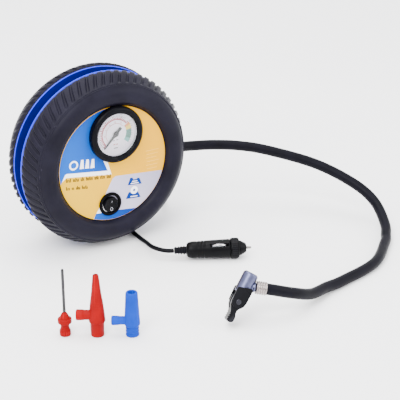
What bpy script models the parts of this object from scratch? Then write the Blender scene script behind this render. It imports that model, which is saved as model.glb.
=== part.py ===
"""Portable tire inflator shaped like a small wheel, with its air hose, power cord and three adapters.

The wheel's axis runs along Y and its dial side faces -Y. The origin is on the ground under its middle.
"""

import bpy
import bmesh
import math
from mathutils import Vector

MM = 0.001
GAP = 0.3 * MM

# The wheel-shaped housing
WHEEL_RADIUS = 84 * MM
CROWN_RADIUS = 83.6 * MM
TREAD_BASE_RADIUS = 81.9 * MM
SHOULDER_RADIUS = 75.4 * MM
HALF_WIDTH = 34.8 * MM
SHOULDER_WIDTH = 5.6 * MM
WALL = 2.8 * MM
RIB_COUNT = 60
RIB_HALF_ANGLE = math.radians(1.9)
RIB_SLANT = math.radians(8.5)
WALL_FACE = 28 * MM
RECESS_RADIUS = 55.8 * MM
BAND_HALF_WIDTH = 8.2 * MM
BAND_LIP = 2.2 * MM
BAND_LIP_RADIUS = 82.9 * MM
GROOVE_RADIUS = 74 * MM
BAND_INNER_RADIUS = 70 * MM
FOOT_HALF_LENGTH = 14 * MM

# The dial side
LABEL_THICKNESS = 0.8 * MM
GAUGE_HEIGHT = 29.4 * MM
GAUGE_OFFSET = 2.2 * MM
GAUGE_CASE_RADIUS = 22.4 * MM
BEZEL_RADIUS = 26.6 * MM
DIAL_RADIUS = 20.4 * MM
NEEDLE_REST = math.radians(225)
SWITCH_DROP = 38.8 * MM
SWITCH_OFFSET = -4.9 * MM
SWITCH_FLANGE_RADIUS = 11.5 * MM
SWITCH_BODY_RADIUS = 9.8 * MM
ROCKER_RADIUS = 7.4 * MM
SCREW_CIRCLE_RADIUS = 48 * MM
VENT_COUNT = 5

# The pump inside
PUMP_Y = 7 * MM
MOTOR_RADIUS = 15 * MM
MOTOR_LENGTH = 51 * MM
MOTOR_Z = 68 * MM
PINION_TEETH = 12
GEAR_TEETH = 32
TOOTH_MODULE = 1.0 * MM
CRANK_THROW = 4 * MM
ROD_LENGTH = 25.5 * MM
CYLINDER_X = 13 * MM
CYLINDER_BORE = 9.1 * MM

# The air hose and its chuck
HOSE_RADIUS = 4.9 * MM
HOSE_EXIT_ANGLE = math.radians(-8.4)
CHUCK_RADIUS = 6.5 * MM
LEVER_PIVOT = 12 * MM

# The power cord and its plug
CORD_RADIUS = 2.1 * MM
CORD_EXIT_ANGLE = math.radians(-42)
COIL_RADIUS = 35 * MM
COIL_HALF_WIDTH = 6.6 * MM
COIL_HALF_HEIGHT = 8.7 * MM
PLUG_RADIUS = 8.8 * MM
PLUG_RING_RADIUS = 9.45 * MM
PLUG_LENGTH = 40 * MM
CONTACT_ANGLE = math.radians(50)

# The adapters
NEEDLE_HEIGHT = 61 * MM
CONE_HEIGHT = 56 * MM
BLUE_HEIGHT = 40 * MM

X_AXIS, Y_AXIS, Z_AXIS = Vector((1, 0, 0)), Vector((0, 1, 0)), Vector((0, 0, 1))
WHEEL_CENTRE = Vector((0, 0, WHEEL_RADIUS))
GAUGE_CENTRE = WHEEL_CENTRE + Vector((GAUGE_OFFSET, 0, GAUGE_HEIGHT))
SWITCH_CENTRE = WHEEL_CENTRE + Vector((SWITCH_OFFSET, 0, -SWITCH_DROP))
CRANK_Z = MOTOR_Z + TOOTH_MODULE * (PINION_TEETH + GEAR_TEETH) / 2
LABEL_FACE = WALL_FACE + GAP + LABEL_THICKNESS


def clear_scene():
    for obj in list(bpy.data.objects):
        bpy.data.objects.remove(obj)


def material(name, colour, roughness, metallic=0.0):
    made = bpy.data.materials.get(name)
    if made:
        return made
    made = bpy.data.materials.new(name)
    made.use_nodes = True
    shader = made.node_tree.nodes["Principled BSDF"]
    shader.inputs["Base Color"].default_value = (*colour, 1)
    shader.inputs["Roughness"].default_value = roughness
    shader.inputs["Metallic"].default_value = metallic
    return made


def black(name):
    return material(name, (0.022, 0.022, 0.03), 0.5)


def steel(name):
    return material(name, (0.6, 0.6, 0.62), 0.3, 1.0)


def mesh_object(name, points, faces, finish=None):
    """An object from points and faces, with every face turned outwards."""
    mesh = bpy.data.meshes.new(name)
    mesh.from_pydata([tuple(p) for p in points], [], faces)
    shape = bmesh.new()
    shape.from_mesh(mesh)
    bmesh.ops.remove_doubles(shape, verts=shape.verts, dist=1e-7)
    bmesh.ops.recalc_face_normals(shape, faces=shape.faces)
    if shape.calc_volume(signed=True) < 0:
        bmesh.ops.reverse_faces(shape, faces=shape.faces)
    shape.to_mesh(mesh)
    shape.free()
    obj = bpy.data.objects.new(name, mesh)
    bpy.context.scene.collection.objects.link(obj)
    if finish:
        mesh.materials.append(finish)
    return obj


def side_vectors(axis):
    """Two unit vectors square to the axis and to each other; the first is level where it can be."""
    first = axis.cross(Z_AXIS) if abs(axis.z) < 0.9 else X_AXIS - axis * axis.x
    first = first.normalized()
    return first, axis.cross(first).normalized()


def turned(name, profile, origin, axis, sides=32, finish=None):
    """A closed profile of (distance along the axis, radius) points, turned about the axis."""
    axis = axis.normalized()
    across, up = side_vectors(axis)
    points, rings = [], []
    for along, radius in profile:
        centre = origin + axis * along
        if radius < 1e-9:
            rings.append([len(points)] * sides)
            points.append(centre)
            continue
        rings.append(list(range(len(points), len(points) + sides)))
        for k in range(sides):
            a = 2 * math.pi * (k + 0.5) / sides
            points.append(centre + (across * math.cos(a) + up * math.sin(a)) * radius)
    faces = []
    for i in range(len(rings)):
        low, high = rings[i], rings[(i + 1) % len(rings)]
        for k in range(sides):
            n = (k + 1) % sides
            corners = [low[k], low[n], high[n], high[k]]
            corners = [c for j, c in enumerate(corners) if c not in corners[:j]]
            if len(corners) > 2:
                faces.append(corners)
    return mesh_object(name, points, faces, finish)


def rod(name, origin, axis, length, radius, sides=24, finish=None):
    return turned(name, [(0, 0), (0, radius), (length, radius), (length, 0)], origin, axis, sides, finish)


def prism(name, outline, origin, u, v, depth, finish=None):
    """A flat outline of (u, v) points pushed along u x v by depth."""
    w = u.cross(v).normalized() * depth
    low = [origin + u * a + v * b for a, b in outline]
    count = len(low)
    faces = [list(range(count)), list(range(count, 2 * count))]
    faces += [[k, (k + 1) % count, count + (k + 1) % count, count + k] for k in range(count)]
    return mesh_object(name, low + [p + w for p in low], faces, finish)


def box(name, low, high, finish=None):
    size = Vector(high) - Vector(low)
    outline = [(0, 0), (size.x, 0), (size.x, size.y), (0, size.y)]
    return prism(name, outline, Vector(low), X_AXIS, Y_AXIS, size.z, finish)


def combine(obj, other, operation):
    change = obj.modifiers.new(other.name, "BOOLEAN")
    change.operation = operation
    change.solver = "EXACT"
    change.object = other
    other.hide_render = True
    other.display_type = "WIRE"
    return obj


def cut(obj, cutter):
    return combine(obj, cutter, "DIFFERENCE")


def join(obj, other):
    return combine(obj, other, "UNION")


def smooth_route(points, step):
    """Points about one step apart on a smooth curve through the given ones, none of them below the ground."""
    ends = [points[0] * 2 - points[1]] + points + [points[-1] * 2 - points[-2]]
    route = []
    for a, b, c, d in zip(ends, ends[1:], ends[2:], ends[3:]):
        pieces = max(1, round((c - b).length / step))
        for k in range(pieces):
            t = k / pieces
            route.append(
                0.5 * (2 * b + (c - a) * t + (2 * a - 5 * b + 4 * c - d) * t**2 + (3 * b - a - 3 * c + d) * t**3)
            )
    return route + [points[-1]]


def tube_along(name, points, radius, step, finish, resolution=3):
    """A solid round cord whose centreline runs through the points."""
    route = smooth_route(points, step)
    curve = bpy.data.curves.new(name, "CURVE")
    curve.dimensions = "3D"
    curve.bevel_depth = radius
    curve.bevel_resolution = resolution
    curve.use_fill_caps = True
    line = curve.splines.new("POLY")
    line.points.add(len(route) - 1)
    for point, place in zip(line.points, route):
        point.co = (*(place.x, place.y, max(place.z, radius + 0.1 * MM)), 1)
    curve.materials.append(finish)
    obj = bpy.data.objects.new(name, curve)
    bpy.context.scene.collection.objects.link(obj)
    return obj


def around(angle, radius, y=0.0):
    """A point at this angle and radius from the wheel's axis."""
    return WHEEL_CENTRE + Vector((radius * math.cos(angle), y, radius * math.sin(angle)))


# ---- The housing


def rib_lean(y):
    """How far round the wheel a slanted rib has moved by this distance from the middle."""
    start, end = BAND_HALF_WIDTH + GAP, HALF_WIDTH - SHOULDER_WIDTH
    return RIB_SLANT * min(1, (y - start) / (end - start))


def shell_rings(side, rows, count, start=0.0):
    """For each (radius, y) row, evenly spaced points, the first at start from the wheel's lowest point."""
    step = 2 * math.pi / count
    return [[around(start - math.pi / 2 + k * step, r, side * y) for k in range(count)] for r, y in rows]


def tread_edges(side, rows):
    """For each (radius, y) row, two points a rib: one at each of its edges."""
    step = 2 * math.pi / RIB_COUNT
    return [
        [
            around(-math.pi / 2 + k * step + s * RIB_HALF_ANGLE + rib_lean(y), r, side * y)
            for k in range(RIB_COUNT)
            for s in (-1, 1)
        ]
        for r, y in rows
    ]


def add_points(points, rings):
    """Appends the rings' points and returns the rings as lists of indices."""
    made = []
    for ring in rings:
        made.append(list(range(len(points), len(points) + len(ring))))
        points += ring
    return made


def ring_walls(rings):
    """Faces between each ring and the next, for rings with equal counts."""
    faces = []
    for low, high in zip(rings, rings[1:]):
        count = len(low)
        faces += [[low[k], low[(k + 1) % count], high[(k + 1) % count], high[k]] for k in range(count)]
    return faces


def zip_rings(many, few):
    """Faces between a ring and another whose count divides its own."""
    faces, count, share = [], len(few), len(many) // len(few)
    for k in range(count):
        fan = [many[k * share + j] for j in range(share)]
        faces += [[few[k], a, b] for a, b in zip(fan, fan[1:])]
        faces.append([few[k], fan[-1], many[(k + 1) * share % len(many)], few[(k + 1) % count]])
    return faces


def rib_side(top, floor):
    """Triangles between a rib's edge, which starts and ends on the tread, and the floor beside it."""
    start, *crest, end = top
    near, far = floor
    return [[start, crest[0], near], [crest[0], crest[1], near], [crest[1], far, near],
            [crest[1], crest[2], far], [crest[2], end, far]]


def tread_faces(low, high, inner, outer):
    """Ribs standing on the tread: low and high are rows between the shared inner and outer rows."""
    faces, count = [], len(inner)
    ribs, floors = [inner, *high, outer], [inner, *low, outer]
    for k in range(0, count, 2):
        n, after = k + 1, (k + 2) % count
        faces += [[a[k], a[n], b[n], b[k]] for a, b in zip(ribs, ribs[1:])]
        faces += [[a[n], a[after], b[after], b[n]] for a, b in zip(floors, floors[1:])]
        for edge in (k, n):
            faces += rib_side([row[edge] for row in ribs], [row[edge] for row in low])
    return faces


def half_shell(name, side):
    """One black half of the wheel: side is -1 for the dial side and 1 for the back."""
    crown = CROWN_RADIUS
    flange_y = BAND_HALF_WIDTH + GAP
    inner_row, outer_row = (TREAD_BASE_RADIUS, flange_y), (SHOULDER_RADIUS, HALF_WIDTH - SHOULDER_WIDTH)
    low_rows = [(TREAD_BASE_RADIUS, 13 * MM), (TREAD_BASE_RADIUS - 2.9 * MM, 22.5 * MM)]
    high_rows = [(crown, flange_y + 2.5 * MM), (crown - 0.5 * MM, 15.5 * MM), (crown - 3.7 * MM, 23 * MM)]
    wall_rows = [
        (SHOULDER_RADIUS - 3.6 * MM, HALF_WIDTH - 2.1 * MM),
        (SHOULDER_RADIUS - 9 * MM, HALF_WIDTH),
        (RECESS_RADIUS + 3.2 * MM, HALF_WIDTH - 1.4 * MM),
        (RECESS_RADIUS, WALL_FACE),
    ]
    hollow_rows = [
        (BAND_INNER_RADIUS, flange_y),
        (BAND_INNER_RADIUS, flange_y + 2.5 * MM),
        (TREAD_BASE_RADIUS - WALL, flange_y + 2.5 * MM),
        (TREAD_BASE_RADIUS - WALL - 3.4 * MM, 20.5 * MM),
        (SHOULDER_RADIUS - 8.6 * MM, HALF_WIDTH - WALL - 0.5 * MM),
        (RECESS_RADIUS + 3 * MM, WALL_FACE - WALL),
    ]
    points = []
    inner, outer = add_points(points, tread_edges(side, [inner_row, outer_row]))
    low, high = (add_points(points, tread_edges(side, rows)) for rows in (low_rows, high_rows))
    walls = add_points(points, shell_rings(side, wall_rows, RIB_COUNT, RIB_SLANT))
    hollow = add_points(points, shell_rings(side, hollow_rows, RIB_COUNT // 2))
    faces = tread_faces(low, high, inner, outer)
    faces += zip_rings(outer, walls[0]) + ring_walls(walls) + [walls[-1]]
    faces += zip_rings(inner, hollow[0]) + ring_walls(hollow) + [hollow[-1]]
    return mesh_object(name, points, faces, black("shell_black"))


def front_shell():
    shell = half_shell("front_shell", -1)
    y = -WALL_FACE + WALL + 1 * MM
    through = 6 * MM
    cut(shell, rod("gauge_hole", GAUGE_CENTRE + Y_AXIS * y, -Y_AXIS, through, GAUGE_CASE_RADIUS + GAP, 32))
    cut(shell, rod("switch_hole", SWITCH_CENTRE + Y_AXIS * y, -Y_AXIS, through, SWITCH_BODY_RADIUS + GAP, 24))
    front = GAUGE_CENTRE - Y_AXIS * (WALL_FACE + GAP)
    return cut(shell, rod("bezel_space", front, -Y_AXIS, 10 * MM, BEZEL_RADIUS + GAP, 48))


def screw_places():
    return [math.pi / 4 + k * math.pi / 2 for k in range(4)]


def rear_shell():
    shell = half_shell("rear_shell", 1)
    for k, angle in enumerate(screw_places()):
        boss = rod(f"boss_{k}", around(angle, SCREW_CIRCLE_RADIUS, 14 * MM), Y_AXIS, 12 * MM, 4 * MM, 16)
        join(shell, boss)
    for k, angle in enumerate(screw_places()):
        hole = rod(f"boss_hole_{k}", around(angle, SCREW_CIRCLE_RADIUS, 12 * MM), Y_AXIS, 20 * MM, 1.9 * MM, 12)
        cut(shell, hole)
    opening = rod("vent_opening", WHEEL_CENTRE + Y_AXIS * 20 * MM, Y_AXIS, 12 * MM, 36 * MM, 32)
    return cut(shell, opening)


def rear_panel():
    face = WALL_FACE + GAP
    panel = rod("rear_panel", WHEEL_CENTRE + Y_AXIS * face, Y_AXIS, 2 * MM, RECESS_RADIUS - 0.6 * MM, 48,
                black("panel_black"))
    for k, angle in enumerate(screw_places()):
        hole = rod(f"panel_hole_{k}", around(angle, SCREW_CIRCLE_RADIUS, face - 3 * MM), Y_AXIS, 8 * MM, 1.9 * MM, 12)
        cut(panel, hole)
    for k in range(VENT_COUNT):
        z = WHEEL_RADIUS + (k - (VENT_COUNT - 1) / 2) * 9 * MM
        half = 26 * MM - abs(k - (VENT_COUNT - 1) / 2) * 4 * MM
        slot = box(f"vent_{k}", (-half, face - 3 * MM, z - 1.6 * MM), (half, face + 6 * MM, z + 1.6 * MM))
        cut(panel, slot)
    return panel


def rear_screws():
    face = WALL_FACE + GAP + 2 * MM + GAP
    profile = [(-14 * MM, 0), (-14 * MM, 1.5 * MM), (0, 1.6 * MM), (0, 3.2 * MM), (1.1 * MM, 3 * MM),
               (2 * MM, 2 * MM), (2 * MM, 1.1 * MM), (1 * MM, 0)]
    for k, angle in enumerate(screw_places()):
        turned(f"rear_screw_{k + 1}", profile, around(angle, SCREW_CIRCLE_RADIUS, face), Y_AXIS, 10,
               steel("screw_steel"))


def centre_band():
    """The groove that the cord is wound in: a floor ring between two lips."""
    blue = material("band_blue", (0.01, 0.05, 0.55), 0.3)
    half = BAND_HALF_WIDTH - BAND_LIP
    floor = [(-half, BAND_INNER_RADIUS), (-half, GROOVE_RADIUS), (half, GROOVE_RADIUS), (half, BAND_INNER_RADIUS)]
    ring = turned("groove_ring", floor, WHEEL_CENTRE, Y_AXIS, 48, blue)
    for name, angle, radius in (("hose", HOSE_EXIT_ANGLE, 5.6 * MM), ("cord", CORD_EXIT_ANGLE, 4.6 * MM)):
        outward = around(angle, 1) - WHEEL_CENTRE
        cut(ring, rod(f"{name}_hole", around(angle, 60 * MM), outward, 30 * MM, radius, 16))
    crest = half + GAP + 0.9 * MM
    lip = [(half + GAP, BAND_INNER_RADIUS), (half + GAP, BAND_LIP_RADIUS), (crest, BAND_LIP_RADIUS),
           (BAND_HALF_WIDTH, BAND_LIP_RADIUS - 1.6 * MM), (BAND_HALF_WIDTH, BAND_INNER_RADIUS)]
    for name, axis in (("front_lip", -Y_AXIS), ("rear_lip", Y_AXIS)):
        turned(name, lip, WHEEL_CENTRE, axis, 60, material("lip_blue", (0.1, 0.16, 0.75), 0.3))


def base_foot():
    """A flat pad in the groove's lowest part, which keeps the wheel from rolling."""
    reach = GROOVE_RADIUS + GAP + 0.2 * MM
    half = math.asin(FOOT_HALF_LENGTH / reach)
    arc = [(reach * math.sin(t), WHEEL_RADIUS - reach * math.cos(t))
           for t in (half * (1 - k / 3) for k in range(7))]
    outline = [(-FOOT_HALF_LENGTH, 0), (FOOT_HALF_LENGTH, 0)] + arc
    half_width = BAND_HALF_WIDTH - BAND_LIP - GAP
    origin = Vector((0, half_width, 0))
    return prism("base_foot", outline, origin, X_AXIS, Z_AXIS, 2 * half_width,
                 material("foot_rubber", (0.02, 0.02, 0.02), 0.7))


# ---- The dial side


def front_label():
    start = WHEEL_CENTRE - Y_AXIS * (WALL_FACE + GAP)
    label = rod("front_label", start, -Y_AXIS, LABEL_THICKNESS, RECESS_RADIUS - 0.6 * MM, 48,
                material("label_print", (0.9, 0.55, 0.12), 0.35))
    for name, centre, radius in (
        ("label_gauge_hole", GAUGE_CENTRE, BEZEL_RADIUS - 2 * MM),
        ("label_switch_hole", SWITCH_CENTRE, SWITCH_BODY_RADIUS + GAP),
    ):
        cut(label, rod(name, centre - Y_AXIS * 20 * MM, -Y_AXIS, 16 * MM, radius, 32))
    return label


def gauge_case():
    back, front, inner = 12 * MM, 33 * MM, DIAL_RADIUS + GAP
    profile = [(back, 0), (back, GAUGE_CASE_RADIUS), (front, GAUGE_CASE_RADIUS), (front, inner),
               (back + 2 * MM, inner), (back + 2 * MM, 0)]
    return turned("gauge_case", profile, GAUGE_CENTRE, -Y_AXIS, 32, black("gauge_black"))


def gauge_dial():
    low, high = 29.6 * MM, 30.4 * MM
    profile = [(low, 0), (low, DIAL_RADIUS), (high, DIAL_RADIUS), (high, 0.8 * MM), (32.4 * MM, 0.8 * MM),
               (32.4 * MM, 0)]
    return turned("gauge_dial", profile, GAUGE_CENTRE, -Y_AXIS, 32, material("dial_white", (0.85, 0.85, 0.85), 0.5))


def gauge_needle():
    """A thin pointer with a short tail and a round hub that turns on the dial's post."""
    low, high = 31.2 * MM, 31.9 * MM
    pointer = Vector((math.cos(NEEDLE_REST), 0, math.sin(NEEDLE_REST)))
    across = Vector((-pointer.z, 0, pointer.x))
    outline = [(-7 * MM, -0.9 * MM), (0, -0.8 * MM), (17.5 * MM, -0.25 * MM), (17.5 * MM, 0.25 * MM), (0, 0.8 * MM),
               (-7 * MM, 0.9 * MM)]
    depth = (high - low) * (1 if pointer.cross(across).y < 0 else -1)
    needle = prism("gauge_needle", outline, GAUGE_CENTRE - Y_AXIS * low, pointer, across, depth,
                   black("needle_black"))
    join(needle, rod("needle_hub", GAUGE_CENTRE - Y_AXIS * (low - 0.1 * MM), -Y_AXIS, 1.0 * MM, 2.6 * MM, 20))
    return cut(needle, rod("needle_bore", GAUGE_CENTRE - Y_AXIS * 30 * MM, -Y_AXIS, 4 * MM, 1.15 * MM, 16))


def gauge_lens():
    clear = material("lens_clear", (0.9, 0.95, 1.0), 0.05)
    return rod("gauge_lens", GAUGE_CENTRE - Y_AXIS * 33.4 * MM, -Y_AXIS, 1.2 * MM, GAUGE_CASE_RADIUS - GAP, 32, clear)


def gauge_bezel():
    base = LABEL_FACE + GAP
    opening, seat = DIAL_RADIUS - 0.4 * MM, GAUGE_CASE_RADIUS + GAP
    profile = [
        (base, seat), (base, BEZEL_RADIUS), (base + 5 * MM, BEZEL_RADIUS),
        (base + 7.3 * MM, BEZEL_RADIUS - 3.2 * MM), (base + 7 * MM, BEZEL_RADIUS - 5 * MM),
        (base + 6.3 * MM, opening), (34.9 * MM, opening), (34.9 * MM, seat),
    ]
    return turned("gauge_bezel", profile, GAUGE_CENTRE, -Y_AXIS, 36, black("bezel_black"))


def switch_frame():
    base = LABEL_FACE + GAP
    inner = ROCKER_RADIUS + 1.2 * MM
    profile = [
        (10 * MM, 0), (10 * MM, SWITCH_BODY_RADIUS), (base, SWITCH_BODY_RADIUS), (base, SWITCH_FLANGE_RADIUS),
        (base + 1.2 * MM, SWITCH_FLANGE_RADIUS), (base + 2 * MM, SWITCH_FLANGE_RADIUS - 1 * MM),
        (base + 2 * MM, inner), (14 * MM, inner), (14 * MM, 0),
    ]
    return turned("switch_frame", profile, SWITCH_CENTRE, -Y_AXIS, 24, black("switch_black"))


def switch_rocker():
    """A round button whose face is a shallow V, tilted so that its lower half is pressed in."""
    tilt = math.radians(8)
    pivot = SWITCH_CENTRE - Y_AXIS * 29.5 * MM
    forward = Vector((0, -math.cos(tilt), -math.sin(tilt)))
    profile = [(-2.6 * MM, 0), (-2.6 * MM, ROCKER_RADIUS), (3 * MM, ROCKER_RADIUS), (3.4 * MM, ROCKER_RADIUS - 0.6 * MM),
               (3.4 * MM, 0)]
    button = turned("switch_rocker", profile, pivot, forward, 28, black("rocker_black"))
    up = Vector((0, -math.sin(tilt), math.cos(tilt)))
    for name, sign in (("upper_slope", 1), ("lower_slope", -1)):
        slope = [(0, 2.6 * MM), (sign * 10 * MM, 4.3 * MM), (sign * 10 * MM, 9 * MM), (0, 9 * MM)]
        wedge = prism(name, slope, pivot - X_AXIS * 10 * MM, up, forward, 20 * MM * (1 if up.cross(forward).x > 0 else -1))
        cut(button, wedge)
    return button


def switch_terminals():
    for k, side in enumerate((-1, 1)):
        x = SWITCH_CENTRE.x + side * 4 * MM
        box(f"switch_terminal_{k + 1}", (x - 2.4 * MM, -9.7 * MM, SWITCH_CENTRE.z - 0.4 * MM),
            (x + 2.4 * MM, -3 * MM, SWITCH_CENTRE.z + 0.4 * MM), steel("terminal_brass"))


# ---- The pump


def gear_outline(teeth, backlash=0.45 * MM):
    """Straight-sided teeth round a pitch circle, a little thin so that they run freely."""
    pitch = TOOTH_MODULE * teeth / 2
    outline = []
    for k in range(teeth):
        middle = 2 * math.pi * k / teeth
        for radius, half in (
            (pitch - 1.15 * TOOTH_MODULE, 0.30), (pitch + 0.75 * TOOTH_MODULE, 0.12),
            (pitch + 0.75 * TOOTH_MODULE, -0.12), (pitch - 1.15 * TOOTH_MODULE, -0.30),
        ):
            sign = -1 if half > 0 else 1
            a = middle + sign * (abs(half) * 2 * math.pi / teeth - backlash / 2 / pitch)
            outline.append((radius * math.cos(a), radius * math.sin(a)))
    return outline


def rotated(outline, angle):
    c, s = math.cos(angle), math.sin(angle)
    return [(a * c - b * s, a * s + b * c) for a, b in outline]


def pump_gears():
    grey = material("gear_nylon", (0.75, 0.75, 0.7), 0.5)
    motor = Vector((3 * MM, PUMP_Y, MOTOR_Z))
    crank = Vector((3 * MM, PUMP_Y, CRANK_Z))
    teeth = rotated(gear_outline(PINION_TEETH), math.pi / 2)
    pinion = prism("motor_shaft", teeth, motor, Y_AXIS, Z_AXIS, 5 * MM, steel("shaft_steel"))
    join(pinion, rod("shaft_rod", motor - X_AXIS * 16 * MM, X_AXIS, 22 * MM, 1.5 * MM, 16))
    wheel = prism("crank_gear", rotated(gear_outline(GEAR_TEETH), -math.pi / 2 + math.pi / GEAR_TEETH), crank,
                  Y_AXIS, Z_AXIS, 5 * MM, grey)
    cut(wheel, rod("gear_bore", crank - X_AXIS * MM, X_AXIS, 8 * MM, 2.35 * MM, 16))
    rod("crank_axle", crank - X_AXIS * 6.6 * MM, X_AXIS, 11.3 * MM, 2 * MM, 16, steel("axle_steel"))


def motor():
    start = Vector((-3.4 * MM, PUMP_Y, MOTOR_Z))
    profile = [(0, 2.2 * MM), (0, MOTOR_RADIUS), (MOTOR_LENGTH, MOTOR_RADIUS), (MOTOR_LENGTH, MOTOR_RADIUS - 1.2 * MM),
               (14 * MM, MOTOR_RADIUS - 1.2 * MM), (14 * MM, 2.2 * MM)]
    turned("motor_can", profile, start, -X_AXIS, 32, steel("can_steel"))
    cap = start - X_AXIS * (MOTOR_LENGTH - 4 * MM)
    rod("motor_cap", cap, -X_AXIS, 6 * MM, MOTOR_RADIUS - 1.5 * MM, 24, black("cap_black"))


def mechanism_frame():
    """The upright plate that the motor, the crank's axle and the cylinder are fixed to."""
    plate = box("mechanism_frame", (-3 * MM, PUMP_Y - 11 * MM, MOTOR_Z - 13 * MM), (0, PUMP_Y + 11 * MM, 131 * MM),
                material("frame_grey", (0.35, 0.35, 0.37), 0.5))
    for name, z, radius in (("motor_opening", MOTOR_Z, 4 * MM), ("axle_hole", CRANK_Z, 2.3 * MM)):
        cut(plate, rod(name, Vector((-8 * MM, PUMP_Y, z)), X_AXIS, 14 * MM, radius, 16))
    return plate


def piston_parts():
    aluminium = material("pump_aluminium", (0.7, 0.7, 0.72), 0.4, 1.0)
    wrist_z = CRANK_Z + CRANK_THROW + ROD_LENGTH
    axis = Vector((CYLINDER_X, PUMP_Y, 0))
    piston = rod("piston", axis + Z_AXIS * (wrist_z - 4 * MM), Z_AXIS, 9.5 * MM, CYLINDER_BORE - GAP, 28,
                 material("piston_white", (0.8, 0.8, 0.78), 0.4))
    low = axis + Vector((-2.5 * MM, -6.5 * MM, wrist_z - 8 * MM))
    cut(piston, box("rod_space", low, low + Vector((5 * MM, 13 * MM, 11.5 * MM))))
    pin_start = Vector((CYLINDER_X - 6.5 * MM, PUMP_Y, wrist_z))
    cut(piston, rod("wrist_hole", pin_start - X_AXIS * 6 * MM, X_AXIS, 26 * MM, 1.5 * MM, 14))
    rod("wrist_pin", pin_start, X_AXIS, 13 * MM, 1.2 * MM, 14, steel("pin_steel"))
    connecting_rod(wrist_z, aluminium)
    cylinder(axis, aluminium)


def connecting_rod(wrist_z, finish):
    half = 1.9 * MM
    x = CYLINDER_X - half
    low_eye = Vector((x, PUMP_Y, CRANK_Z + CRANK_THROW))
    outline = [(-1.6 * MM, 0), (1.6 * MM, 0), (1.4 * MM, ROD_LENGTH), (-1.4 * MM, ROD_LENGTH)]
    beam = prism("connecting_rod", outline, low_eye, Y_AXIS, Z_AXIS, 2 * half, finish)
    join(beam, rod("rod_big_end", low_eye, X_AXIS, 2 * half + 0.01 * MM, 3.6 * MM, 20))
    join(beam, rod("rod_small_end", low_eye + Z_AXIS * ROD_LENGTH, X_AXIS, 2 * half + 0.02 * MM, 2.9 * MM, 18))
    join(beam, rod("crank_pin", Vector((8.3 * MM, PUMP_Y, low_eye.z)), X_AXIS, 5 * MM, 1.6 * MM, 14))
    return cut(beam, rod("rod_bore", Vector((x - MM, PUMP_Y, wrist_z)), X_AXIS, 8 * MM, 1.5 * MM, 14))


def cylinder(axis, finish):
    low, high = 108 * MM, 131 * MM
    profile = [(low, CYLINDER_BORE), (low, CYLINDER_BORE + 1.9 * MM), (high, CYLINDER_BORE + 1.9 * MM),
               (high, CYLINDER_BORE)]
    turned("cylinder", profile, axis, Z_AXIS, 28, finish)
    head = rod("cylinder_head", axis + Z_AXIS * (high + GAP), Z_AXIS, 6.5 * MM, CYLINDER_BORE + 2.4 * MM, 28,
               material("head_aluminium", (0.6, 0.6, 0.62), 0.4, 1.0))
    join(head, rod("outlet_port", axis + Z_AXIS * (high + 3.8 * MM), X_AXIS, 16 * MM, 2.6 * MM, 16))


def inner_tubes():
    clear = material("tube_clear", (0.75, 0.75, 0.7), 0.4)
    start = Vector((CYLINDER_X + 16.4 * MM, PUMP_Y, 134.8 * MM))
    places = [start, start + X_AXIS * 5 * MM, Vector((50, 7, 120)) * MM, Vector((52, 3, 92)) * MM]
    places += [around(HOSE_EXIT_ANGLE, reach * MM) for reach in (54, 59.6)]
    tube_along("delivery_tube", places, 2.2 * MM, 7 * MM, clear, 2)
    gauge = [(0.9, 7, 134.5), (-3, 7, 134), (-6, 3, 128), (-6, -5, 120), (-6, -11.6, 119.6)]
    tube_along("gauge_tube", [Vector(p) * MM for p in gauge], 1.3 * MM, 4 * MM, clear, 2)


# ---- The air hose


def hose_places():
    """The hose leaves the groove, drops in a wide bend to the ground and lifts again at the chuck."""
    start = around(HOSE_EXIT_ANGLE, 92.6 * MM)
    bend = [(124, -5.5, 67.2), (146, -17.5, 65.6), (170, -34, 61), (206.4, -64.8, 49), (230, -95.7, 34),
            (237.6, -119.2, 21.5), (230, -144.5, 10.5), (219, -159.5, 6.2), (209.5, -169.1, 5.1),
            (175.3, -195.1, 5.1), (130.3, -206.2, 5.1), (107.5, -210.8, 6.9), (85.3, -218.5, 10.7),
            (64, -222.2, 19.4)]
    ends = [hose_mount() - hose_end_direction() * reach * MM for reach in (23.1, 18.8)]
    return [start, start + (start - WHEEL_CENTRE).normalized() * 13 * MM] + [Vector(p) * MM for p in bend] + ends


def hose_end_direction():
    return Vector((-0.85, 0.48, 0.2)).normalized()


def chuck_centre():
    return Vector((22.2, -207.4, 29.6)) * MM


def hose_mount():
    """Where the line of the hose meets the chuck's own axis, a little towards the mouth."""
    return chuck_centre() - chuck_axis() * 2.5 * MM


def chuck_axis():
    """From the mouth towards the lever."""
    return Vector((-0.603, -0.089, -0.78)).normalized()


def lever_axis():
    return chuck_axis().cross(-hose_end_direction()).normalized()


def hose_gland():
    outward = around(HOSE_EXIT_ANGLE, 1) - WHEEL_CENTRE
    profile = [(60 * MM, 0), (60 * MM, 3.2 * MM), (65.5 * MM, 3.2 * MM), (65.5 * MM, 7 * MM), (68.6 * MM, 7 * MM),
               (68.6 * MM, 5.2 * MM), (86 * MM, 5.2 * MM), (92 * MM, 5 * MM), (92 * MM, 0)]
    return turned("hose_gland", profile, WHEEL_CENTRE, outward, 20, black("gland_black"))


def air_hose():
    return tube_along("air_hose", hose_places(), HOSE_RADIUS, 13 * MM, material("hose_rubber", (0.02, 0.02, 0.022), 0.6), 3)


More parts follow.
